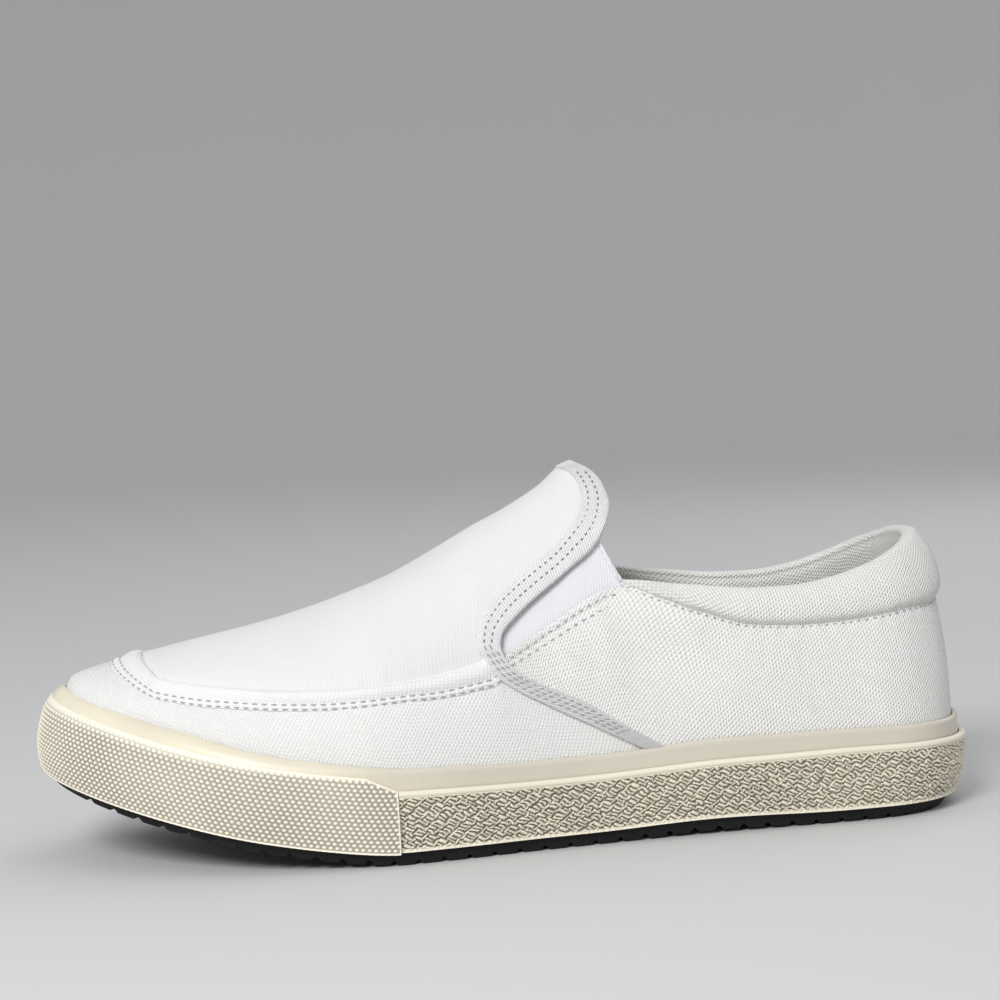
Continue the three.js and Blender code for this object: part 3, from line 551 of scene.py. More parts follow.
def ribbed(pitch_u, pitch_w):
    return lambda paint, u, w: u.wave(pitch_u) * 0.7 + w.wave(pitch_w) * 0.3


def twill(pitch):
    return lambda paint, u, w: (u + w * 0.6).wave(pitch) * 0.75 + (u * 0.3 - w).wave(pitch * 0.8) * 0.25


def rubber_finish(name, tone, worn, rough, coat=0.0, toe=None):
    """Smooth rubber that wears to a second tone, and may have its own tone at the toe."""
    paint = Paint(name, Specular_IOR_Level=0.45, Coat_Roughness=0.3)
    place = paint.place()
    broad = paint.noise(place, 22.0, 4.0, 0.55)
    smudge = paint.noise(place, 60.0, 5.0, 0.65, (1.0, 1.0, 2.2))
    if toe:
        along = paint.node("ShaderNodeSeparateXYZ", None, {0: place})
        tone = paint.mix(along.band(0.0, 0.1) * 0.8, tone, toe)
    base = paint.mix(broad.band(0.35, 0.7) * 0.6, tone, worn)
    base = paint.mix(smudge.band(0.56, 0.75) * 0.35, base, (0.5, 0.46, 0.37))
    normal = paint.bump(paint.noise(place, 900.0, 3.0, 0.6), 0.00006)
    return paint.finish(Base_Color=base, Roughness=smudge * 0.14 + (rough - 0.07),
                        Coat_Weight=coat, Normal=normal)


def relief_finish(name, tone, rough, worn, hollow_shade):
    """Moulded rubber with painted shade in its hollows, where the Relief layer is low."""
    paint = Paint(name, Specular_IOR_Level=0.5)
    place = paint.place()
    _, height, _ = paint.uv("Relief")
    broad = paint.noise(place, 26.0, 4.0, 0.6)
    hollow = 1 - height.band(0.0, 0.75)
    base = paint.mix(broad.band(0.35, 0.7) * 0.5, tone, shade(tone, worn))
    # Painted shade: the hollows of the relief are darkened towards a deep brown, by an amount that varies
    # from place to place.
    base = paint.mix(hollow * (broad * 0.4 + hollow_shade), base, (0.15, 0.13, 0.095))
    normal = paint.bump(paint.noise(place, 1100.0, 2.0), 0.00004)
    return paint.finish(Base_Color=base, Roughness=hollow * 0.25 + rough, Normal=normal)


# Meshes

def active():
    return bpy.context.view_layer.objects.active


def edit(*steps):
    """Runs edit-mode operators on the whole active mesh."""
    bpy.ops.object.mode_set(mode="EDIT")
    bpy.ops.mesh.select_all(action="SELECT")
    for step in steps:
        step()
    bpy.ops.object.mode_set(mode="OBJECT")


def weld():
    bpy.ops.mesh.remove_doubles(threshold=1e-5)
    bpy.ops.mesh.dissolve_degenerate(threshold=1e-6)


def make_outward():
    bpy.ops.mesh.normals_make_consistent(inside=False)


def modify(kind, **settings):
    bpy.ops.object.modifier_add(type=kind)
    modifier = active().modifiers[-1]
    for key, value in settings.items():
        setattr(modifier, key, value)
    bpy.ops.object.modifier_apply(modifier=modifier.name)


def grid(name, points, cloth, **layers):
    """Mesh of a grid of points in millimetres, with its cloth coordinates and other layers."""
    rows, columns = points.shape[:2]
    bpy.ops.object.select_all(action="DESELECT")
    bpy.ops.mesh.primitive_grid_add(x_subdivisions=columns - 1, y_subdivisions=rows - 1, size=1.0)
    piece = active()
    piece.name = piece.data.name = name
    mesh = piece.data
    if len(mesh.vertices) != rows * columns:
        raise RuntimeError(f"{name}: the grid has {len(mesh.vertices)} points and not {rows * columns}")
    spots = np.empty(len(mesh.vertices) * 3)
    mesh.vertices.foreach_get("co", spots)
    spots = spots.reshape(-1, 3)
    i = np.rint((spots[:, 0] + 0.5) * (columns - 1)).astype(int)
    j = np.rint((spots[:, 1] + 0.5) * (rows - 1)).astype(int)
    mesh.vertices.foreach_set("co", ((points[j, i] - MIDDLE) * MM).ravel())
    corners = np.empty(len(mesh.loops), np.int32)
    mesh.loops.foreach_get("vertex_index", corners)
    mesh.uv_layers.active.name = "Cloth"
    for label, values in {"Cloth": cloth, **layers}.items():
        layer = mesh.uv_layers.get(label) or mesh.uv_layers.new(name=label)
        layer.data.foreach_set("uv", values[j[corners], i[corners]].ravel())
    mesh.update()
    return piece


def face_out(piece, middle):
    """Turns an open sheet so that its faces look away from a point."""
    mesh = piece.data
    count = len(mesh.polygons)
    normals, centres, areas = np.empty(count * 3), np.empty(count * 3), np.empty(count)
    mesh.polygons.foreach_get("normal", normals)
    mesh.polygons.foreach_get("center", centres)
    mesh.polygons.foreach_get("area", areas)
    spread = centres.reshape(-1, 3) - middle
    if np.sum(np.sum(normals.reshape(-1, 3) * spread, 1) * areas) < 0:
        edit(bpy.ops.mesh.flip_normals)


def dress(piece, material, slot, *nodes, smooth=50):
    piece.data.materials.clear()
    piece.data.materials.append(material)
    bpy.ops.object.shade_smooth_by_angle(angle=math.radians(smooth))
    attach(piece, "root")
    if nodes:
        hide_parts(*nodes)
    return piece


def sheet(name, points, cloth, thickness, material, slot, *nodes, bevel=0.0, middle=(0, 0, 0.04)):
    """Open sheet of cloth with the given thickness inwards, and softly rounded rims where a bevel is given.
    """
    piece = grid(name, points, cloth)
    edit(weld)
    face_out(piece, middle)
    modify("SOLIDIFY", thickness=thickness, offset=-1.0, use_even_offset=False)
    if bevel:
        modify("BEVEL", width=bevel, segments=2, limit_method="ANGLE", angle_limit=math.radians(60))
    dress(piece, material, slot, *nodes)


def arc_cloth(points, u=None):
    """Cloth coordinates of a grid in millimetres: along its columns, unless given, and up its rows."""
    if u is None:
        u = np.append(0, np.cumsum(np.linalg.norm(np.diff(points, axis=1), axis=-1).mean(0)))
    up = np.cumsum(np.linalg.norm(np.diff(points, axis=0), axis=-1), 0)
    w = np.vstack([np.zeros(points.shape[1]), up])
    return np.stack([np.broadcast_to(u, w.shape), w], -1)


def ring(rows):
    """Rows closed by the first one."""
    return np.concatenate([rows, rows[:1]])


def shell(name, points, cloth, material, slot, *nodes, smooth=50, ends=True, **layers):
    """Closed piece from a grid whose rows run round it, with its ends filled where it has ends."""
    piece = grid(name, points, cloth, **layers)
    edit(weld)
    if ends:
        edit(lambda: bpy.ops.mesh.fill_holes(sides=0))
    edit(make_outward)
    return dress(piece, material, slot, *nodes, smooth=smooth)


def strip(name, p, height, offset, material, slot, node, relief=None, **options):
    """Rubber strip along the outline, from the heights and offsets of the rows of its section."""
    height, offset = ring(height), ring(offset)
    cloth = np.stack([np.broadcast_to(p * HALF_LOOP, height.shape), height], -1)
    if relief is not None:
        options["Relief"] = np.stack([ring(relief)] * 2, -1)
    shell(name, side(p[None, :], height, offset), cloth, material, slot, node, **options)


class ShoeOperator:
    bl_options = {"REGISTER", "UNDO"}

    @property
    def sizes(self):
        return bpy.context.scene.shoe_sizes

    @property
    def colours(self):
        return bpy.context.scene.shoe_colours

    def execute(self, context):
        self.make()
        return {"FINISHED"}


class SHOE_OT_sole(ShoeOperator, bpy.types.Operator):
    """Black rubber tread with notched edges, and the foam above it"""
    bl_idname = "shoe.sole"
    bl_label = "Sole"

    def make(self):
        cream = (0.62, 0.58, 0.48)
        foam = rubber_finish("cream_foam", cream, shade(cream, 0.9), 0.85)
        foot = bpy.data.objects["midsole"]
        foot.data.materials.clear()
        foot.data.materials.append(foam)
        p = np.linspace(0, 2, 1201)[None, :]
        rows = [(3.98, -14, 0), (3.98, -2.6, 0), (3.7, -2.35, 0), (2.9, -2.3, 0), (2.75, -2.3, 0.06),
                (1.4, -2.3, 0.5), (0.3, -2.35, 0.9), (0, -2.7, 1), (0, -5, 1), (0, -8.3, 1), (0, -9.2, 0.45)]
        height, offset, cut = (np.array(c)[:, None] for c in zip(*rows))
        x, y = outline(p)
        nearest = np.abs((x - NOTCH_START - NOTCH_PITCH / 2) % NOTCH_PITCH - NOTCH_PITCH / 2)
        gap = clamp((NOTCH_HALF - nearest) / 0.8) * (x > NOTCH_START) * (x < NOTCH_END)
        bevel = 1.6 * clamp(1 - x / 14) ** 1.5
        lift = cut * np.maximum(NOTCH_DEPTH * gap, bevel)
        edge = side(p, height + lift, offset)
        inner = side(p, 0.9 + 0 * p, -9.2)[0]
        across = np.linspace(0, 1, 14)[1:, None, None]
        spine = np.stack([x[0], centre_shift(x[0]), inner[:, 2]], -1)
        spine[:, 0] = np.clip(x[0], 16, LENGTH - 22)
        spine[:, 2] = floor_height(spine[:, 0]) + 0.9
        middle = inner[None] + (spine - inner)[None] * across
        wave = np.cos(2 * np.pi * (middle[..., 0] - 0.35 * np.abs(middle[..., 1])) / 5.2)
        middle[..., 2] += np.clip(wave * 1.4, -0.5, 0.6) * (across[..., 0] < 0.97)
        points = np.concatenate([edge, middle])
        paint = Paint("black_rubber", Specular_IOR_Level=0.3)
        place = paint.place()
        dust = paint.noise(place, 70.0, 5.0, 0.65).band(0.5, 0.75) * 0.35
        base = paint.mix(dust, self.colours.outsole, (0.03, 0.029, 0.027))
        fine = paint.bump(paint.noise(place, 700.0, 3.0), 0.00008)
        rubber = paint.finish(Base_Color=base, Roughness=dust * 0.3 + 0.62, Normal=fine)
        shell("outsole_tread", points, points[..., :2], rubber, "outsole_rubber", "outsole", smooth=35)


class SHOE_OT_insole(ShoeOperator, bpy.types.Operator):
    """Cloth-covered insole, slightly dished under the heel"""
    bl_idname = "shoe.insole"
    bl_label = "Insole"

    def make(self):
        p, t = np.meshgrid(np.linspace(0, 1, 130), np.linspace(-1, 1, 33))
        height = SKIRT_BOTTOM + self.sizes.insole / MM + 0 * t
        left, right = side(p, height, -INSOLE_EDGE), side(2 - p, height, -INSOLE_EDGE)
        share = ((np.sin(t * np.pi / 2) + 1) / 2)[..., None]
        points = right + (left - right) * share
        dish = np.abs(t) ** 3 * 1.6 - 0.8
        points[..., 2] += dish * bump(points[..., 0], 30, 90)
        material = cloth_finish("insole_cloth", linear(226, 221, 208), canvas(0), 0.00012, stains=0.25)
        sheet("insole_cover", points, points[..., :2], self.sizes.insole, material, "insole_cloth", "insole",
              middle=(0, 0, -1))


class SHOE_OT_foxing(ShoeOperator, bpy.types.Operator):
    """Smooth rubber strip round the foot of the canvas"""
    bl_idname = "shoe.foxing"
    bl_label = "Foxing"

    def make(self):
        p = np.linspace(0, 2, 601)
        # Share of the height, rise, offset and swell beside the bumper of each row of the section
        section = [(0, 0, 0, 0), (0.3, 0, 0, 0), (0.62, 0, 0, 0), (1, -6.4, 0, 0), (1, -5.0, 0, 1.5),
                   (1, -4.0, 0, 1.7), (1, -3.0, 0, 1.65), (1, -2.2, 0.04, 1.5), (1, -1.5, 0.10, 1.15),
                   (1, -0.9, 0.02, 0.8), (1, -0.4, -0.25, 0.45), (1, -0.08, -0.7, 0.15), (1, 0, -1.1, 0),
                   (1, -0.25, -1.45, 0), (1, -1.2, -1.5, 0), (0.62, 0, -1.5, 0), (0.3, 0, -1.5, 0),
                   (0, 0, -1.5, 0)]
        share, rise, step, swell = (np.array(c)[:, None] for c in zip(*section))
        lowered = 2.2 * clamp((outline(p)[0] / BODY - 0.84) / 0.14) ** 1.5
        over = clamp((fold(p)[0] - BUMPER_AT) / 0.09)
        height = SOLE_TOP + (foxing_top(p) - lowered - SOLE_TOP) * share + rise
        height = height + 0.16 * ripple(p * HALF_LOOP / 9, 0, 11) * (share > 0.9)
        worn, toe = (0.62, 0.57, 0.47), linear(238, 229, 204)
        material = rubber_finish("foxing_rubber", self.colours.foxing, worn, 0.36, coat=0.12, toe=toe)
        offset = FOXING_OUTER + step + swell * over
        strip("foxing_strip", p, height, offset, material, "foxing_rubber", "foxing", ends=False)


def band_relief(u, w):
    """Short cords that rise towards the toe, and cords across them where they stop, as in a rough weave."""
    waver = 0.16 * np.sin(2 * np.pi * (u / 6.1 + 0.35 * np.sin(2 * np.pi * w / 5.3)))
    waver = waver + 0.12 * ripple(u / 1.2, w / 1.2, 5)
    turns = (w - CORD_SLOPE * u) / CORD_PITCH + waver
    cord = 0.5 + 0.5 * np.cos(2 * np.pi * turns)
    chance = np.sin(np.floor(turns + 0.5) * 12.9898) * 437.585
    on = clamp((np.cos(2 * np.pi * ((u + CORD_SLOPE * w) / CORD_LENGTH + chance)) + 0.75) / 0.5)
    cross = 0.5 + 0.5 * np.cos(2 * np.pi * ((w + CROSS_SLOPE * u) / CROSS_PITCH - waver))
    woven = np.maximum(cord ** 0.75 * on, 0.85 * cross * (1 - on))
    return woven * (0.92 + 0.08 * ripple(u / 2.3, w / 1.9, 6))


class SHOE_OT_band(ShoeOperator, bpy.types.Operator):
    """Rubber band with a woven relief under a plain rim"""
    bl_idname = "shoe.band"
    bl_label = "Sidewall band"

    def make(self):
        end = BUMPER_AT - GAP / HALF_LOOP / 2
        p = np.linspace(-end, end, 1340)
        rows = np.linspace(0, 1, 62)[:, None]
        top = BAND_HEIGHT * SECTION.band(outline(p)[0] / BODY)[None, :]
        field = top - BAND_RIM - SOLE_TOP
        wave = band_relief(p[None, :] * HALF_LOOP, rows * field)
        ends = clamp((end - np.abs(p)) * HALF_LOOP / 0.3)[None, :]
        edge = clamp(rows * 14) * clamp((1 - rows) * 26) * ends
        wave = wave * edge + (1 - edge) * 0.9
        depth = self.sizes.band_relief / MM
        rim = [(-1.75, -0.30), (-1.45, 0.08), (-0.95, 0.16), (-0.45, 0.05), (-0.12, -0.28), (0, -0.7),
               (-0.05, -BAND_RIM)]
        back = (0.75, 0.5, 0.25, 0)
        heights = [SOLE_TOP + rows * field] + [top + h for h, _ in rim]
        heights += [SOLE_TOP + (top - SOLE_TOP) * s for s in back]
        offsets = [(wave - 1) * depth] + [0 * top + o for _, o in rim] + [0 * top + BACK_OFFSET] * len(back)
        relief = [wave] + [0 * top + 1] * (len(rim) + len(back))
        material = relief_finish("band_rubber", self.colours.band, 0.42, 0.9, 0.72)
        strip("sidewall_band_relief", p, np.concatenate(heights), np.concatenate(offsets), material,
              "sidewall_rubber", "sidewall_band", relief=np.concatenate(relief), smooth=80)


def stud_relief(u, w):
    """Staggered rows of small studs with pits between them."""
    across = (u + STUD_SLANT * w) / STUD_PITCH
    first, second = 2 * np.pi * (across + w / STUD_ROWS), 2 * np.pi * (across - w / STUD_ROWS)
    return (1.5 + np.cos(first) + np.cos(second) + np.cos(first - second)) / 4.5


class SHOE_OT_bumper(ShoeOperator, bpy.types.Operator):
    """Toe bumper with rows of small studs"""
    bl_idname = "shoe.bumper"
    bl_label = "Toe bumper"

    def make(self):
        start = BUMPER_AT + GAP / HALF_LOOP / 2
        p = np.linspace(start, 2 - start, 1000)
        rows = np.linspace(0, 1, 76)[:, None]
        band = BAND_HEIGHT * SECTION.band(outline(p)[0] / BODY)
        rise = clamp((np.minimum(p, 2 - p) - start) / (SLANT_AT - start))
        top = (band + (BUMPER_HEIGHT - band) * rise)[None, :]
        low = SOLE_TOP - 0.6
        face = top - low
        height = low + rows * face
        wave = stud_relief(p[None, :] * HALF_LOOP, rows * face)
        inside = (np.minimum(p, 2 - p) - start) * HALF_LOOP
        ends = clamp(inside / 0.4)[None, :]
        length = np.interp(inside, [0, 20, 70], [0.5, 1.2, 3.4])[None, :]
        fade = clamp(((1 - rows) * face - 0.35) / length) ** 0.6
        edge = clamp(rows * face / 0.7) * ends
        wave = (1 - (1 - wave) * fade * edge)
        wave = wave - 0.25 * (1 - fade) * edge
        body = BUMPER_PROUD - 0.75 * clamp((height - top + 5.0) / 5.0) ** 2
        foot = 0.4 * clamp(1 - rows * face / 0.8)
        offset = body - foot + (wave - 1) * self.sizes.toe_relief / MM
        back = [(1, 0.02, -0.45), (1, -0.1, -1.1), (1, -0.4, BACK_OFFSET), (0.66, 0, BACK_OFFSET),
                (0.33, 0, BACK_OFFSET), (0, 0, BACK_OFFSET)]
        heights = [height] + [low + face * s + d for s, d, _ in back]
        offsets = [offset] + [0 * top + o for _, _, o in back]
        relief = [wave] + [0 * top + 0.9] * len(back)
        material = relief_finish("bumper_rubber", self.colours.bumper, 0.45, 0.92, 0.57)
        strip("toe_bumper_relief", p, np.concatenate(heights), np.concatenate(offsets), material,
              "bumper_rubber", "toe_bumper", relief=np.concatenate(relief), smooth=80)


def dense(low, high, count, around=(), width=0.03, extra=10):
    """Stations from low to high, closer together around the given places."""
    more = [np.linspace(c - width, c + width, extra) for c in around]
    every = np.concatenate([np.linspace(low, high, count), *more])
    return np.unique(np.clip(np.round(every, 6), low, high))


def fold_height(p, v):
    """Height of the quarter's turned edge along the gore."""
    gore = clamp((fold(p)[0] - 0.372) / 0.01)
    return gore * (0.35 * bump(v, 0.985, 0.03) - 0.25 * bump(v, 0.93, 0.012) - 0.25 * bump(v, 0.865, 0.02))


class SHOE_OT_quarter(ShoeOperator, bpy.types.Operator):
    """Canvas round the heel, up to the gores and the collar, with its back seam"""
    bl_idname = "shoe.quarter"
    bl_label = "Quarter"

    def make(self):
        v = dense(-1, 1.03, 48, (0.97,), 0.05, 12)[:, None]
        t = dense(-0.506, 0.506, 320, (0.0,), 0.006, 25)[None, :]
        reach = np.minimum(tape_rib(v), 0.503)
        p = np.clip(t, -reach, reach)
        points = rib_point(p, v)
        u = p * HALF_LOOP
        r = np.abs(p)
        gore = clamp((r - 0.372) / 0.01)
        height = fold_height(p, v) + 0.55 * bump(u, 0, 0.9) - 0.18 * bump(np.abs(u), 2.2, 0.6)
        height = height + 0.22 * ripple(u / 16, v * 4, 21) * clamp(v)
        pull = 0.12 * np.sin(u / 1.1) * bump(v, 0.95, 0.06)
        height = height + (pull - 0.35 * bump(v, 1.03, 0.08)) * (1 - gore)
        sag = 0.7 * bump(r, 0.36, 0.03) * bump(v, 0.85, 0.2)
        sag = sag - 1.1 * bump(r, 0.33, 0.035) * bump(v, 0.62, 0.25)
        points = raised(points, height + sag)
        cloth = arc_cloth(points, u)
        material = cloth_finish("quarter_canvas", self.colours.quarter, canvas(9), 0.00042, stains=0.08)
        sheet("quarter", points, cloth, self.sizes.cloth, material, "canvas", "upper", bevel=0.0002)


class SHOE_OT_vamp(ShoeOperator, bpy.types.Operator):
    """Sides of the vamp under the plug"""
    bl_idname = "shoe.vamp"
    bl_label = "Vamp sides"

    def make(self):
        v = dense(-1, 1.08, 46)[:, None]
        t = np.linspace(0.386, 1.614, 460)[None, :]
        start = np.minimum(tape_rib(v), 0.506)
        p = np.clip(t, start, 2 - start)
        points = rib_point(p, v)
        u = p * HALF_LOOP
        pull = np.sin(u / 1.55 + 0.6 * ripple(u / 9, 0, 3))
        height = 0.20 * ripple(u / 14, v * 4, 31) * clamp(v) + 0.12 * pull * bump(v, 0.96, 0.08)
        points = raised(points, height)
        cloth = arc_cloth(points, u)
        material = cloth_finish("vamp_canvas", self.colours.vamp, canvas(27), 0.0003, stains=0.03, dark=0.82)
        sheet("vamp_side", points, cloth, self.sizes.cloth, material, "canvas", "upper")


def plug_height(p, v):
    """Height of the plug, its welt and its stitched edge above the last."""
    r, _ = fold(p)
    u = p * HALF_LOOP
    on = APRON(r)
    pull = 0.10 * np.sin(u / 1.25 + 0.8 * ripple(u / 8, 0, 8)) * bump(v, 1.95, 0.12)
    raised = WELT(v) * on + (1 - on) * (0.45 - 0.1 * clamp(v - 2))
    return raised + pull * on


class SHOE_OT_plug(ShoeOperator, bpy.types.Operator):
    """Plug and tongue, and the apron with its welt and stitched edge round them"""
    bl_idname = "shoe.plug"
    bl_label = "Plug"

    def make(self):
        t = np.linspace(0.414, 1.586, 460)[None, :]
        plug = cloth_finish("plug_canvas", self.colours.plug, canvas(27), 0.00008, dark=0.96)
        apron = cloth_finish("apron_canvas", self.colours.vamp, canvas(27), 0.00022, dark=0.87)
        for name, v, material in (
            ("vamp_plug", dense(1.96, 3.0, 44, (2.1,), 0.15, 16)[:, None], plug),
            ("vamp_apron", dense(1.0, 2.015, 36)[:, None], apron),
        ):
            start = np.where(v < 2.0, 0.500, tape_rib(v))
            p = np.clip(t, start, 2 - start)
            points = rib_point(p, v)
            height = plug_height(p, np.maximum(v, 2.03) if material is plug else v)
            height = height - 0.35 * clamp((2.03 - v) / 0.05) * (material is plug)
            x, hand = points[..., 0], np.where(p <= 1, 1.0, -1.0)
            height = height + 0.16 * ripple(x / 15, points[..., 1] / 15, 41) * clamp(v - 2)
            dent = bump(x, 186, 9) * clamp((v - 2) * 2) * bump(hand * (v - 3), -0.5, 0.9)
            height = height - 0.7 * dent
            normals = grid_normals(points)
            crest = clamp((v - 2.3) * 4) * clamp((fold(p)[0] - 0.84) * 25)
            normals = unit(normals + (np.array([0.26, 0, 0.966]) - normals) * crest[..., None])
            points = points + normals * height[..., None]
            cloth = np.stack([points[..., 0], points[..., 1] + points[..., 2] * 0.4], -1)
            if material is apron:
                cloth = arc_cloth(points)
            sheet(name, points, cloth, self.sizes.cloth, material, "canvas", "upper")


class SHOE_OT_gores(ShoeOperator, bpy.types.Operator):
    """Elastic gores between the quarters and the vamp"""
    bl_idname = "shoe.gores"
    bl_label = "Gores"

    def make(self):
        material = cloth_finish("gore_elastic", self.colours.gore, ribbed(0.9, 0.7), 0.00012, dark=0.93)
        r = dense(0.358, 0.507, 126)[None, :]
        t = np.linspace(0, 1, 50)[:, None]
        low, under_tape = np.array(rib_share(r, 0.86)), np.array(rib_share(r, 2.12))
        along, free = (r - 0.364) / 0.034, clamp((0.404 - r) / 0.006)
        top = under_tape + (np.array([0.3985 + 0.016 * along, 0.395 + 0.13 * along]) - under_tape) * free
        s, a = low + (top - low) * t
        for hand, name in ((1, "gore_outer"), (-1, "gore_inner")):
            flat = last(s if hand > 0 else 2 - s, a)
            left = np.cumsum(np.linalg.norm(np.diff(flat[::-1], axis=0), axis=-1), 0)[::-1]
            left = np.vstack([left, 0 * left[:1]])
            hem = 0.2 * clamp((1.5 - left) / 0.3) - 0.4 * bump(left, 1.8, 0.35)
            height = 0.10 * ripple(r * 60, t * 4, 51) - GORE_RECESS + hem * free
            points = over_last(s if hand > 0 else 2 - s, a, height)
            cloth = np.stack([s * HALF_LOOP, points[..., 2]], -1)
            sheet(name, points, cloth, self.sizes.gore, material, "canvas", "upper")


class SHOE_OT_collar(ShoeOperator, bpy.types.Operator):
    """Padded roll round the opening"""
    bl_idname = "shoe.collar"
    bl_label = "Collar"

    def make(self):
        p = np.linspace(-COLLAR_END, COLLAR_END, 421)[None, :]
        r = np.abs(p)
        u = p * HALF_LOOP
        roll = ROLL(r)
        out, pad = self.sizes.roll / MM, self.sizes.padding / MM
        outer_v = np.concatenate([np.linspace(0.98, 1.3, 9), np.linspace(1.38, 3.0, 20)])[:, None]
        inner_v = np.linspace(3.0, 0.9, 24)[:, None]
        rise_out = curve(np.array([0.98, 1.03, 1.10, 1.22, 1.42, 1.8, 2.2, 2.6, 3.0]),
                         np.array([-0.45, 0.05, 0.45, 0.80, 1.0, 1.08, 1.0, 0.80, 0.46]))
        rise_in = curve(np.array([0.9, 1.1, 1.5, 2.1, 2.6, 3.0]),
                        np.array([-0.1, 0.25, 0.8, 1.0, 0.92, 0.6]))
        soft = 0.16 * ripple(u / 7, 0, 61) + 0.14 * ripple(u / 3, 0, 62)
        pull = 0.14 * np.sin(u / 1.0 + ripple(u / 6, 0, 63)) * bump(outer_v, 1.08, 0.12)
        outer = over_rib(p, outer_v, (out + soft) * roll * rise_out(outer_v) + pull)
        wall = WALL * np.interp(r, [0.345, COLLAR_END], [0.9, 0.4])
        inner = over_rib(p, inner_v, -(wall + (pad + soft) * roll * rise_in(inner_v)))
        rise = unit(outer[-1] - outer[-4])
        width = np.linalg.norm(outer[-1] - inner[0], axis=-1)
        angle = np.linspace(0, np.pi, 11)[1:-1, None, None]
        middle, half = (outer[-1] + inner[0]) / 2, (outer[-1] - inner[0]) / 2
        lip = middle + half * np.cos(angle) + (rise * (width * 0.38)[..., None])[None] * np.sin(angle)
        points = ring(np.concatenate([outer, lip, inner]))
        cloth = arc_cloth(points, u)
        material = cloth_finish("collar_canvas", self.colours.collar, canvas(6), 0.0005, stains=0.06)
        piece = shell("padded_collar", points, cloth, material, "canvas", "upper")


class SHOE_OT_lining(ShoeOperator, bpy.types.Operator):
    """Lining cloth inside the upper"""
    bl_idname = "shoe.lining"
    bl_label = "Lining"

    def make(self):
        p = dense(0, 2, 301, (0.408, 1.592), 0.006, 9)[None, :]
        r, _ = fold(p)
        top = np.interp(r, [0, 0.352, 0.362, 0.404, 0.412, 0.48, 0.5, 1],
                        [1.6, 1.6, 0.9, 0.9, 2.96, 2.96, 3, 3])
        v = np.minimum(np.linspace(-1, 3, 49)[:, None], top)
        points = rib_point(p, v)
        tucked = clamp((v - 2.2) / 0.5)
        deeper = 2.5 * bump(r, 0.445, 0.085) ** 0.5 * clamp((v - 0.4) * 3) * (1 - tucked) - 0.5 * tucked
        depth = WALL - 0.5 + deeper + 0.1 * ripple(p * HALF_LOOP / 12, v * 4, 71)
        points = raised(points, -depth)
        cloth = arc_cloth(points, p * HALF_LOOP)
        material = cloth_finish("lining_cloth", self.colours.lining, canvas(0), 0.0004,
                                stains=0.35, dark=0.86)
        sheet("lining", points, cloth, 0.0006, material, "canvas", "upper")


def tape_point(t, w, height):
    """Point of the tape: share of its path, share across it and height above the last."""
    share = np.where(t <= 1, t, 2 - t)
    s = TAPE.rear(share) + (TAPE.front(share) - TAPE.rear(share)) * w
    a = clamp(TAPE.rear_up(share) + (TAPE.front_up(share) - TAPE.rear_up(share)) * w)
    return over_last(np.where(t <= 1, s, 2 - s), a, height)


class SHOE_OT_tape(ShoeOperator, bpy.types.Operator):
    """Folded tape over the vamp's edge and the tongue"""
    bl_idname = "shoe.tape"
    bl_label = "Tape"

    def make(self):
        t = np.linspace(0, 2, 601)[None, :]
        thick = self.sizes.tape / MM
        # Share across and height of the rows that show, then of the folded ones, flat and over the tongue
        outer = [(1.0, 0.35), (1.0, 0.8), (0.985, 0.95), (0.94, 1.0), (0.8, 0.93), (0.66, 0.97),
                 (0.58, 0.88), (0.5, 0.98), (0.42, 0.88), (0.34, 0.97), (0.2, 0.95), (0.1, 1.02),
                 (0.04, 0.9), (0.01, 0.55)]
        folded = [(0.0, 0.1, -0.8), (0.0, 0.1, -2.0), (0.04, 0.1, -2.7), (0.12, 0.12, -2.9),
                  (0.5, 0.12, -2.85), (0.5, 0.1, -2.4), (0.1, 0.1, -2.3), (0.08, 0.1, -1.2),
                  (0.08, 0.1, 0.1), (0.5, 0.1, 0.12)]
        share = np.where(t <= 1, t, 2 - t)
        wrap = clamp((share - 0.66) / 0.05)
        steps = np.linalg.norm(np.diff(tape_point(t, 0.5, 0 * t)[0], axis=0), axis=-1)
        u = np.cumsum(np.append(0, steps))[None, :]
        wobble = 0.08 * ripple(u / 5, 0, 81)
        sway = 0.012 * ripple(u / 6, 0, 82)
        rows = [tape_point(t, w + sway, GAP + thick * h + wobble) for w, h in outer]
        rows += [tape_point(t, w + 0 * t, flat + (deep - flat) * wrap) for w, flat, deep in folded]
        points = np.stack([row[0] for row in rows])
        # The path turns sharply over the tongue, so the tape is smoothed there
        span = np.arange(-36, 37)
        kernel = np.exp(-(span / 14.0) ** 2)
        padded = np.pad(points, ((0, 0), (36, 36), (0, 0)), mode="edge")
        moved = (padded[:, 36 + k:36 + k + points.shape[1]] * f for k, f in zip(span, kernel))
        calm = sum(moved) / kernel.sum()
        points = ring(points + (calm - points) * bump(t[0], 1.0, 0.085)[None, :, None])
        first, final = points[:, :1] - points[:, 6:7], points[:, -1:] - points[:, -7:-6]
        points = np.concatenate([points[:, :1] + first * 1.8, points, points[:, -1:] + final * 1.8], 1)
        u = np.concatenate([u[:, :1] - 6, u, u[:, -1:] + 6], 1)
        cloth = arc_cloth(points, u)
        material = cloth_finish("twill_tape", self.colours.tape, twill(0.9), 0.0004, dark=0.85)
        shell("vamp_tape", points, cloth, material, "tape", "vamp_binding")


def along_row(at, reach, values):
    return np.stack([np.interp(at, reach, values[:, k]) for k in range(3)], -1)


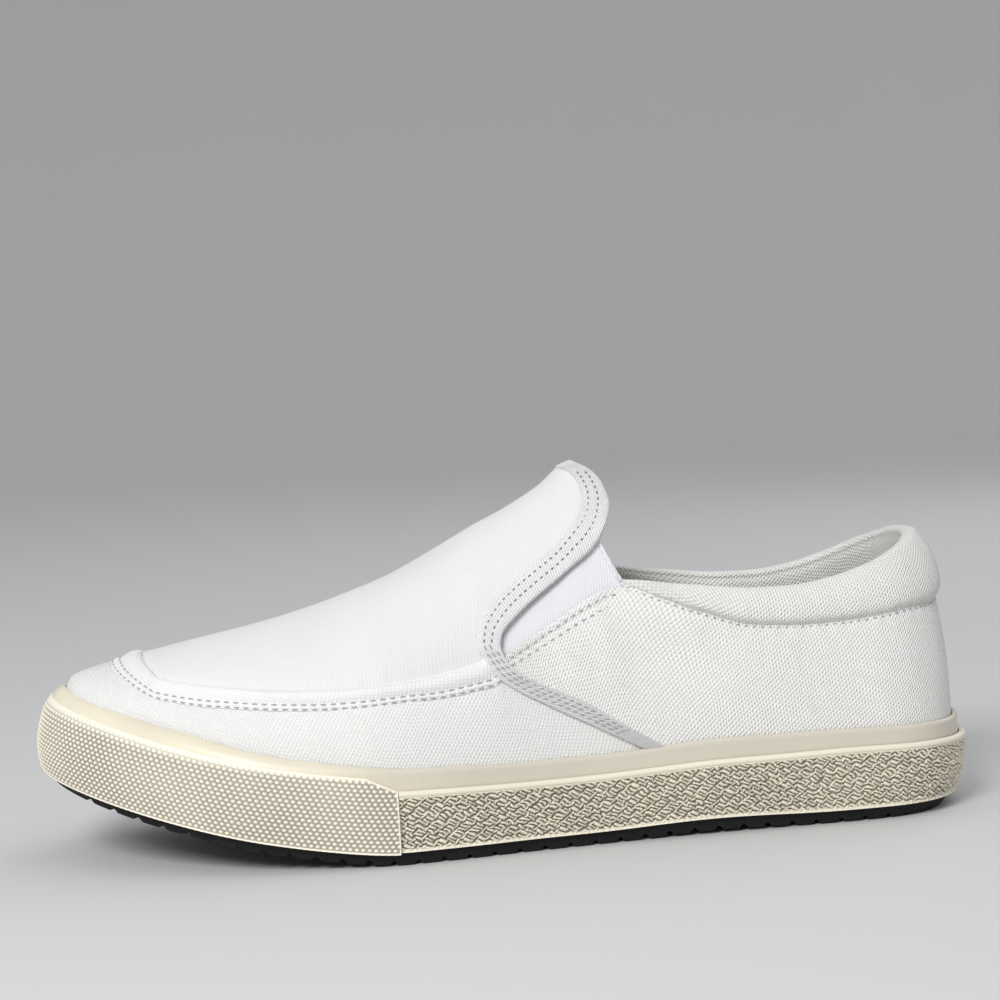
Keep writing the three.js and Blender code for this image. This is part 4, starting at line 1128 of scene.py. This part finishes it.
def stitches(name, rows, length, width, depth, pitch, material, slot):
    """Rows of stitches: each row is a line of points with normals, and the slant of its stitches."""
    bpy.ops.object.select_all(action="DESELECT")
    bpy.ops.mesh.primitive_uv_sphere_add(segments=6, ring_count=5, radius=0.5)
    pattern = active()
    local = np.array([vertex.co[:] for vertex in pattern.data.vertices])[:, [2, 1, 0]]
    faces = [tuple(face.vertices) for face in pattern.data.polygons]
    local = local * (length, width, depth)
    bpy.ops.object.delete()
    spots = []
    for line, normals, slant in rows:
        reach = np.append(0, np.cumsum(np.linalg.norm(np.diff(line, axis=0), axis=-1)))
        at = np.arange(pitch / 2, reach[-1], pitch)
        centre = along_row(at, reach, line)
        ahead, behind = along_row(at + 0.4, reach, line), along_row(at - 0.4, reach, line)
        normal = unit(along_row(at, reach, normals))
        along = unit(ahead - behind)
        across = unit(np.cross(normal, along))
        turned = along * math.cos(slant) + across * math.sin(slant)
        beside = np.cross(normal, turned)
        spots.append(centre[:, None] + local[None, :, 0:1] * turned[:, None] +
                     local[None, :, 1:2] * beside[:, None] + local[None, :, 2:3] * normal[:, None])
    points = (np.concatenate(spots).reshape(-1, 3) - MIDDLE) * MM
    count = len(points) // len(local)
    every = [tuple(k + n * len(local) for k in face) for n in range(count) for face in faces]
    mesh = bpy.data.meshes.new(name)
    mesh.from_pydata(points.tolist(), [], every)
    piece = bpy.data.objects.new(name, mesh)
    bpy.context.collection.objects.link(piece)
    bpy.context.view_layer.objects.active = piece
    piece.select_set(True)
    edit(make_outward)
    dress(piece, material, slot)


def thread_finish(name, tone):
    paint = Paint(name, Sheen_Weight=0.2)
    place = paint.place()
    twist = paint.noise(place, 2600.0, 2.0)
    base = paint.mix(twist.band(0.35, 0.65), shade(tone, 0.8), tone)
    return paint.finish(Base_Color=base, Roughness=0.8 + twist * 0.1, Normal=paint.bump(twist, 0.0001))


def rib_row(p, v, height):
    """Row of upright stitches at a place on each rib."""
    normal = rib_normal(p, v)
    return rib_point(p, v + 0 * p) + normal * (height + 0 * p)[:, None], normal, 0.0


def tape_row(t, w, height):
    line = tape_point(t, w + 0 * t, height + 0 * t)
    return line, unit(line - tape_point(t, w + 0 * t, height - 1 + 0 * t))


class SHOE_OT_stitches(ShoeOperator, bpy.types.Operator):
    """All rows of stitches"""
    bl_idname = "shoe.stitches"
    bl_label = "Stitches"

    def make(self):
        thread = thread_finish("grey_thread", self.colours.thread)
        # The tape's pinholes are dark grey marks: painted shade inside the needle holes.
        dark = thread_finish("pinholes", linear(128, 128, 133))
        length, pitch = self.sizes.stitch_length / MM, self.sizes.stitch_pitch / MM
        p = np.linspace(0.507, 1.493, 900)
        rows = [rib_row(p, v, plug_height(p, v) + 0.08) for v in (1.06, 1.28)]
        stitches("apron_stitches", rows, length, 0.62, 0.5, pitch, thread, "canvas")
        top = GAP + self.sizes.tape / MM
        upper = [(*tape_row(np.linspace(a, b, 400), w, top - 0.08), 0.0)
                 for a, b in ((0.36, 0.93), (1.07, 1.64)) for w in (0.42, 0.76)]
        stitches("tape_pinholes", upper, 1.15, 0.6, 0.3, 2.2, dark, "tape")
        lower = [(*tape_row(np.linspace(a, b, 300), w, top - 0.02), 0.28 * turn)
                 for a, b, turn in ((0.03, 0.35, 1), (1.65, 1.97, -1)) for w in (0.25, 0.48, 0.72)]
        stitches("tape_stitches", lower, 1.9, 0.55, 0.4, 2.5, thread, "tape")
        edges = [rib_row(q, v, fold_height(q, v) + 0.16)
                 for q in (np.linspace(0.371, 0.492, 300), np.linspace(1.508, 1.629, 300))
                 for v in (0.955, 0.885)]
        stitches("gore_edge_pinholes", edges, 1.5, 0.65, 0.34, 2.9, thread, "canvas")
        q = np.linspace(-0.366, 0.366, 900)
        normal = rib_normal(q, 0.985 + 0 * q)
        line = rib_point(q, 0.975 + 0 * q)
        stitches("collar_stitches", [(line, normal, 0.25)], 1.2, 0.42, 0.34, 2.6, thread, "canvas")
        v = np.linspace(0.04, 0.93, 200)
        heel = [rib_row(beside + 0 * v, v, 0.02) for beside in (-0.0066, 0.0066)]
        stitches("heel_stitches", heel, 1.6, 0.5, 0.4, 2.6, thread, "canvas")


class SHOE_OT_stage(ShoeOperator, bpy.types.Operator):
    """Floor, lights and camera"""
    bl_idname = "shoe.stage"
    bl_label = "Stage"

    def make(self):
        self.floor()
        self.lights()
        self.camera()

    def floor(self):
        """Disc whose edge curves up into a low bowl."""
        start, width, rise, steps = 2.6, 1.2, 1.2, 12
        bpy.ops.object.select_all(action="DESELECT")
        bpy.ops.mesh.primitive_circle_add(
            vertices=128, radius=start, fill_type="NGON", location=(0, 0, -0.0001))
        bowl = active()
        bowl.name = "studio_floor"
        bpy.ops.object.mode_set(mode="EDIT")
        bpy.ops.mesh.select_mode(type="EDGE")
        bpy.ops.mesh.select_all(action="SELECT")
        bpy.ops.mesh.region_to_loop()
        radius, height = start, 0.0
        for k in range(1, steps + 1):
            angle = k * math.pi / 2 / steps
            wider, higher = start + width * math.sin(angle), rise * (1 - math.cos(angle))
            bpy.ops.mesh.extrude_edges_move(TRANSFORM_OT_translate={"value": (0, 0, higher - height)})
            bpy.ops.transform.resize(value=(wider / radius, wider / radius, 1), center_override=(0, 0, 0))
            radius, height = wider, higher
        bpy.ops.object.mode_set(mode="OBJECT")
        bpy.ops.object.shade_smooth()
        paint = Paint("floor_paint", Specular_IOR_Level=0.2)
        grain = paint.noise(paint.place(), 6.0, 3.0)
        base = paint.mix(grain, self.colours.floor, shade(self.colours.floor, 0.985))
        bowl.data.materials.append(paint.finish(Base_Color=base, Roughness=0.75 + grain * 0.1))

    def lights(self):
        world = bpy.data.worlds.new("studio")
        bpy.context.scene.world = world
        world.use_nodes = True
        sky = world.node_tree.nodes["Background"]
        sky.inputs["Color"].default_value = (0.97, 0.98, 1.0, 1)
        sky.inputs["Strength"].default_value = 0.56
        bpy.context.scene.view_settings.view_transform = "Standard"
        for name, place, power, width in (
            ("key", (0.55, 1.05, 0.85), 13.5, 0.5),
            ("rim", (-0.9, -0.9, 0.9), 2.5, 0.8),
        ):
            bpy.ops.object.select_all(action="DESELECT")
            bpy.ops.object.light_add(type="AREA", location=place)
            light = active()
            light.name = name
            light.data.energy, light.data.size = power, width
            light.rotation_euler = Vector(place).to_track_quat("Z", "Y").to_euler()

    def camera(self):
        place = (np.array([226.878, 721.153, 149.103]) - MIDDLE) * MM
        forward = Vector((-0.10846693, -0.99223757, -0.06082382)).normalized()
        right = Vector((-0.9924164, 0.11183608, -0.05101216)).normalized()
        up = right.cross(forward)
        bpy.ops.object.camera_add()
        camera = active()
        camera.name = "photo_camera"
        turn = Matrix((right, up, -forward)).transposed()
        camera.matrix_world = Matrix.Translation(place) @ turn.to_4x4()
        camera.data.sensor_width, camera.data.lens = 36.0, 81.5
        camera.data.clip_start = 0.01
        bpy.context.scene.camera = camera


class SHOE_PT_panel(bpy.types.Panel):
    """Sizes and colours of the shoe, and a button for each of its pieces"""
    bl_idname = "SHOE_PT_panel"
    bl_label = "Slip-on sneaker"
    bl_space_type = "VIEW_3D"
    bl_region_type = "UI"
    bl_category = "Shoe"

    def draw(self, context):
        for group in (context.scene.shoe_sizes, context.scene.shoe_colours):
            box = self.layout.box()
            for name in group.__annotations__:
                box.prop(group, name)
        for operator in OPERATORS:
            self.layout.operator(operator.bl_idname)


OPERATORS = (
    SHOE_OT_stage, SHOE_OT_sole, SHOE_OT_insole, SHOE_OT_foxing, SHOE_OT_band, SHOE_OT_bumper,
    SHOE_OT_quarter, SHOE_OT_vamp, SHOE_OT_plug, SHOE_OT_gores, SHOE_OT_collar, SHOE_OT_lining,
    SHOE_OT_tape, SHOE_OT_stitches,
)
CLASSES = (ShoeSizes, ShoeColours, *OPERATORS, SHOE_PT_panel)


def register():
    for item in CLASSES:
        bpy.utils.register_class(item)
    bpy.types.Scene.shoe_sizes = bpy.props.PointerProperty(type=ShoeSizes)
    bpy.types.Scene.shoe_colours = bpy.props.PointerProperty(type=ShoeColours)


def unregister():
    del bpy.types.Scene.shoe_sizes, bpy.types.Scene.shoe_colours
    for item in reversed(CLASSES):
        bpy.utils.unregister_class(item)


def main():
    register()
    for operator in OPERATORS:
        getattr(bpy.ops.shoe, operator.bl_idname.split(".")[1])()


if __name__ == "__main__":
    main()
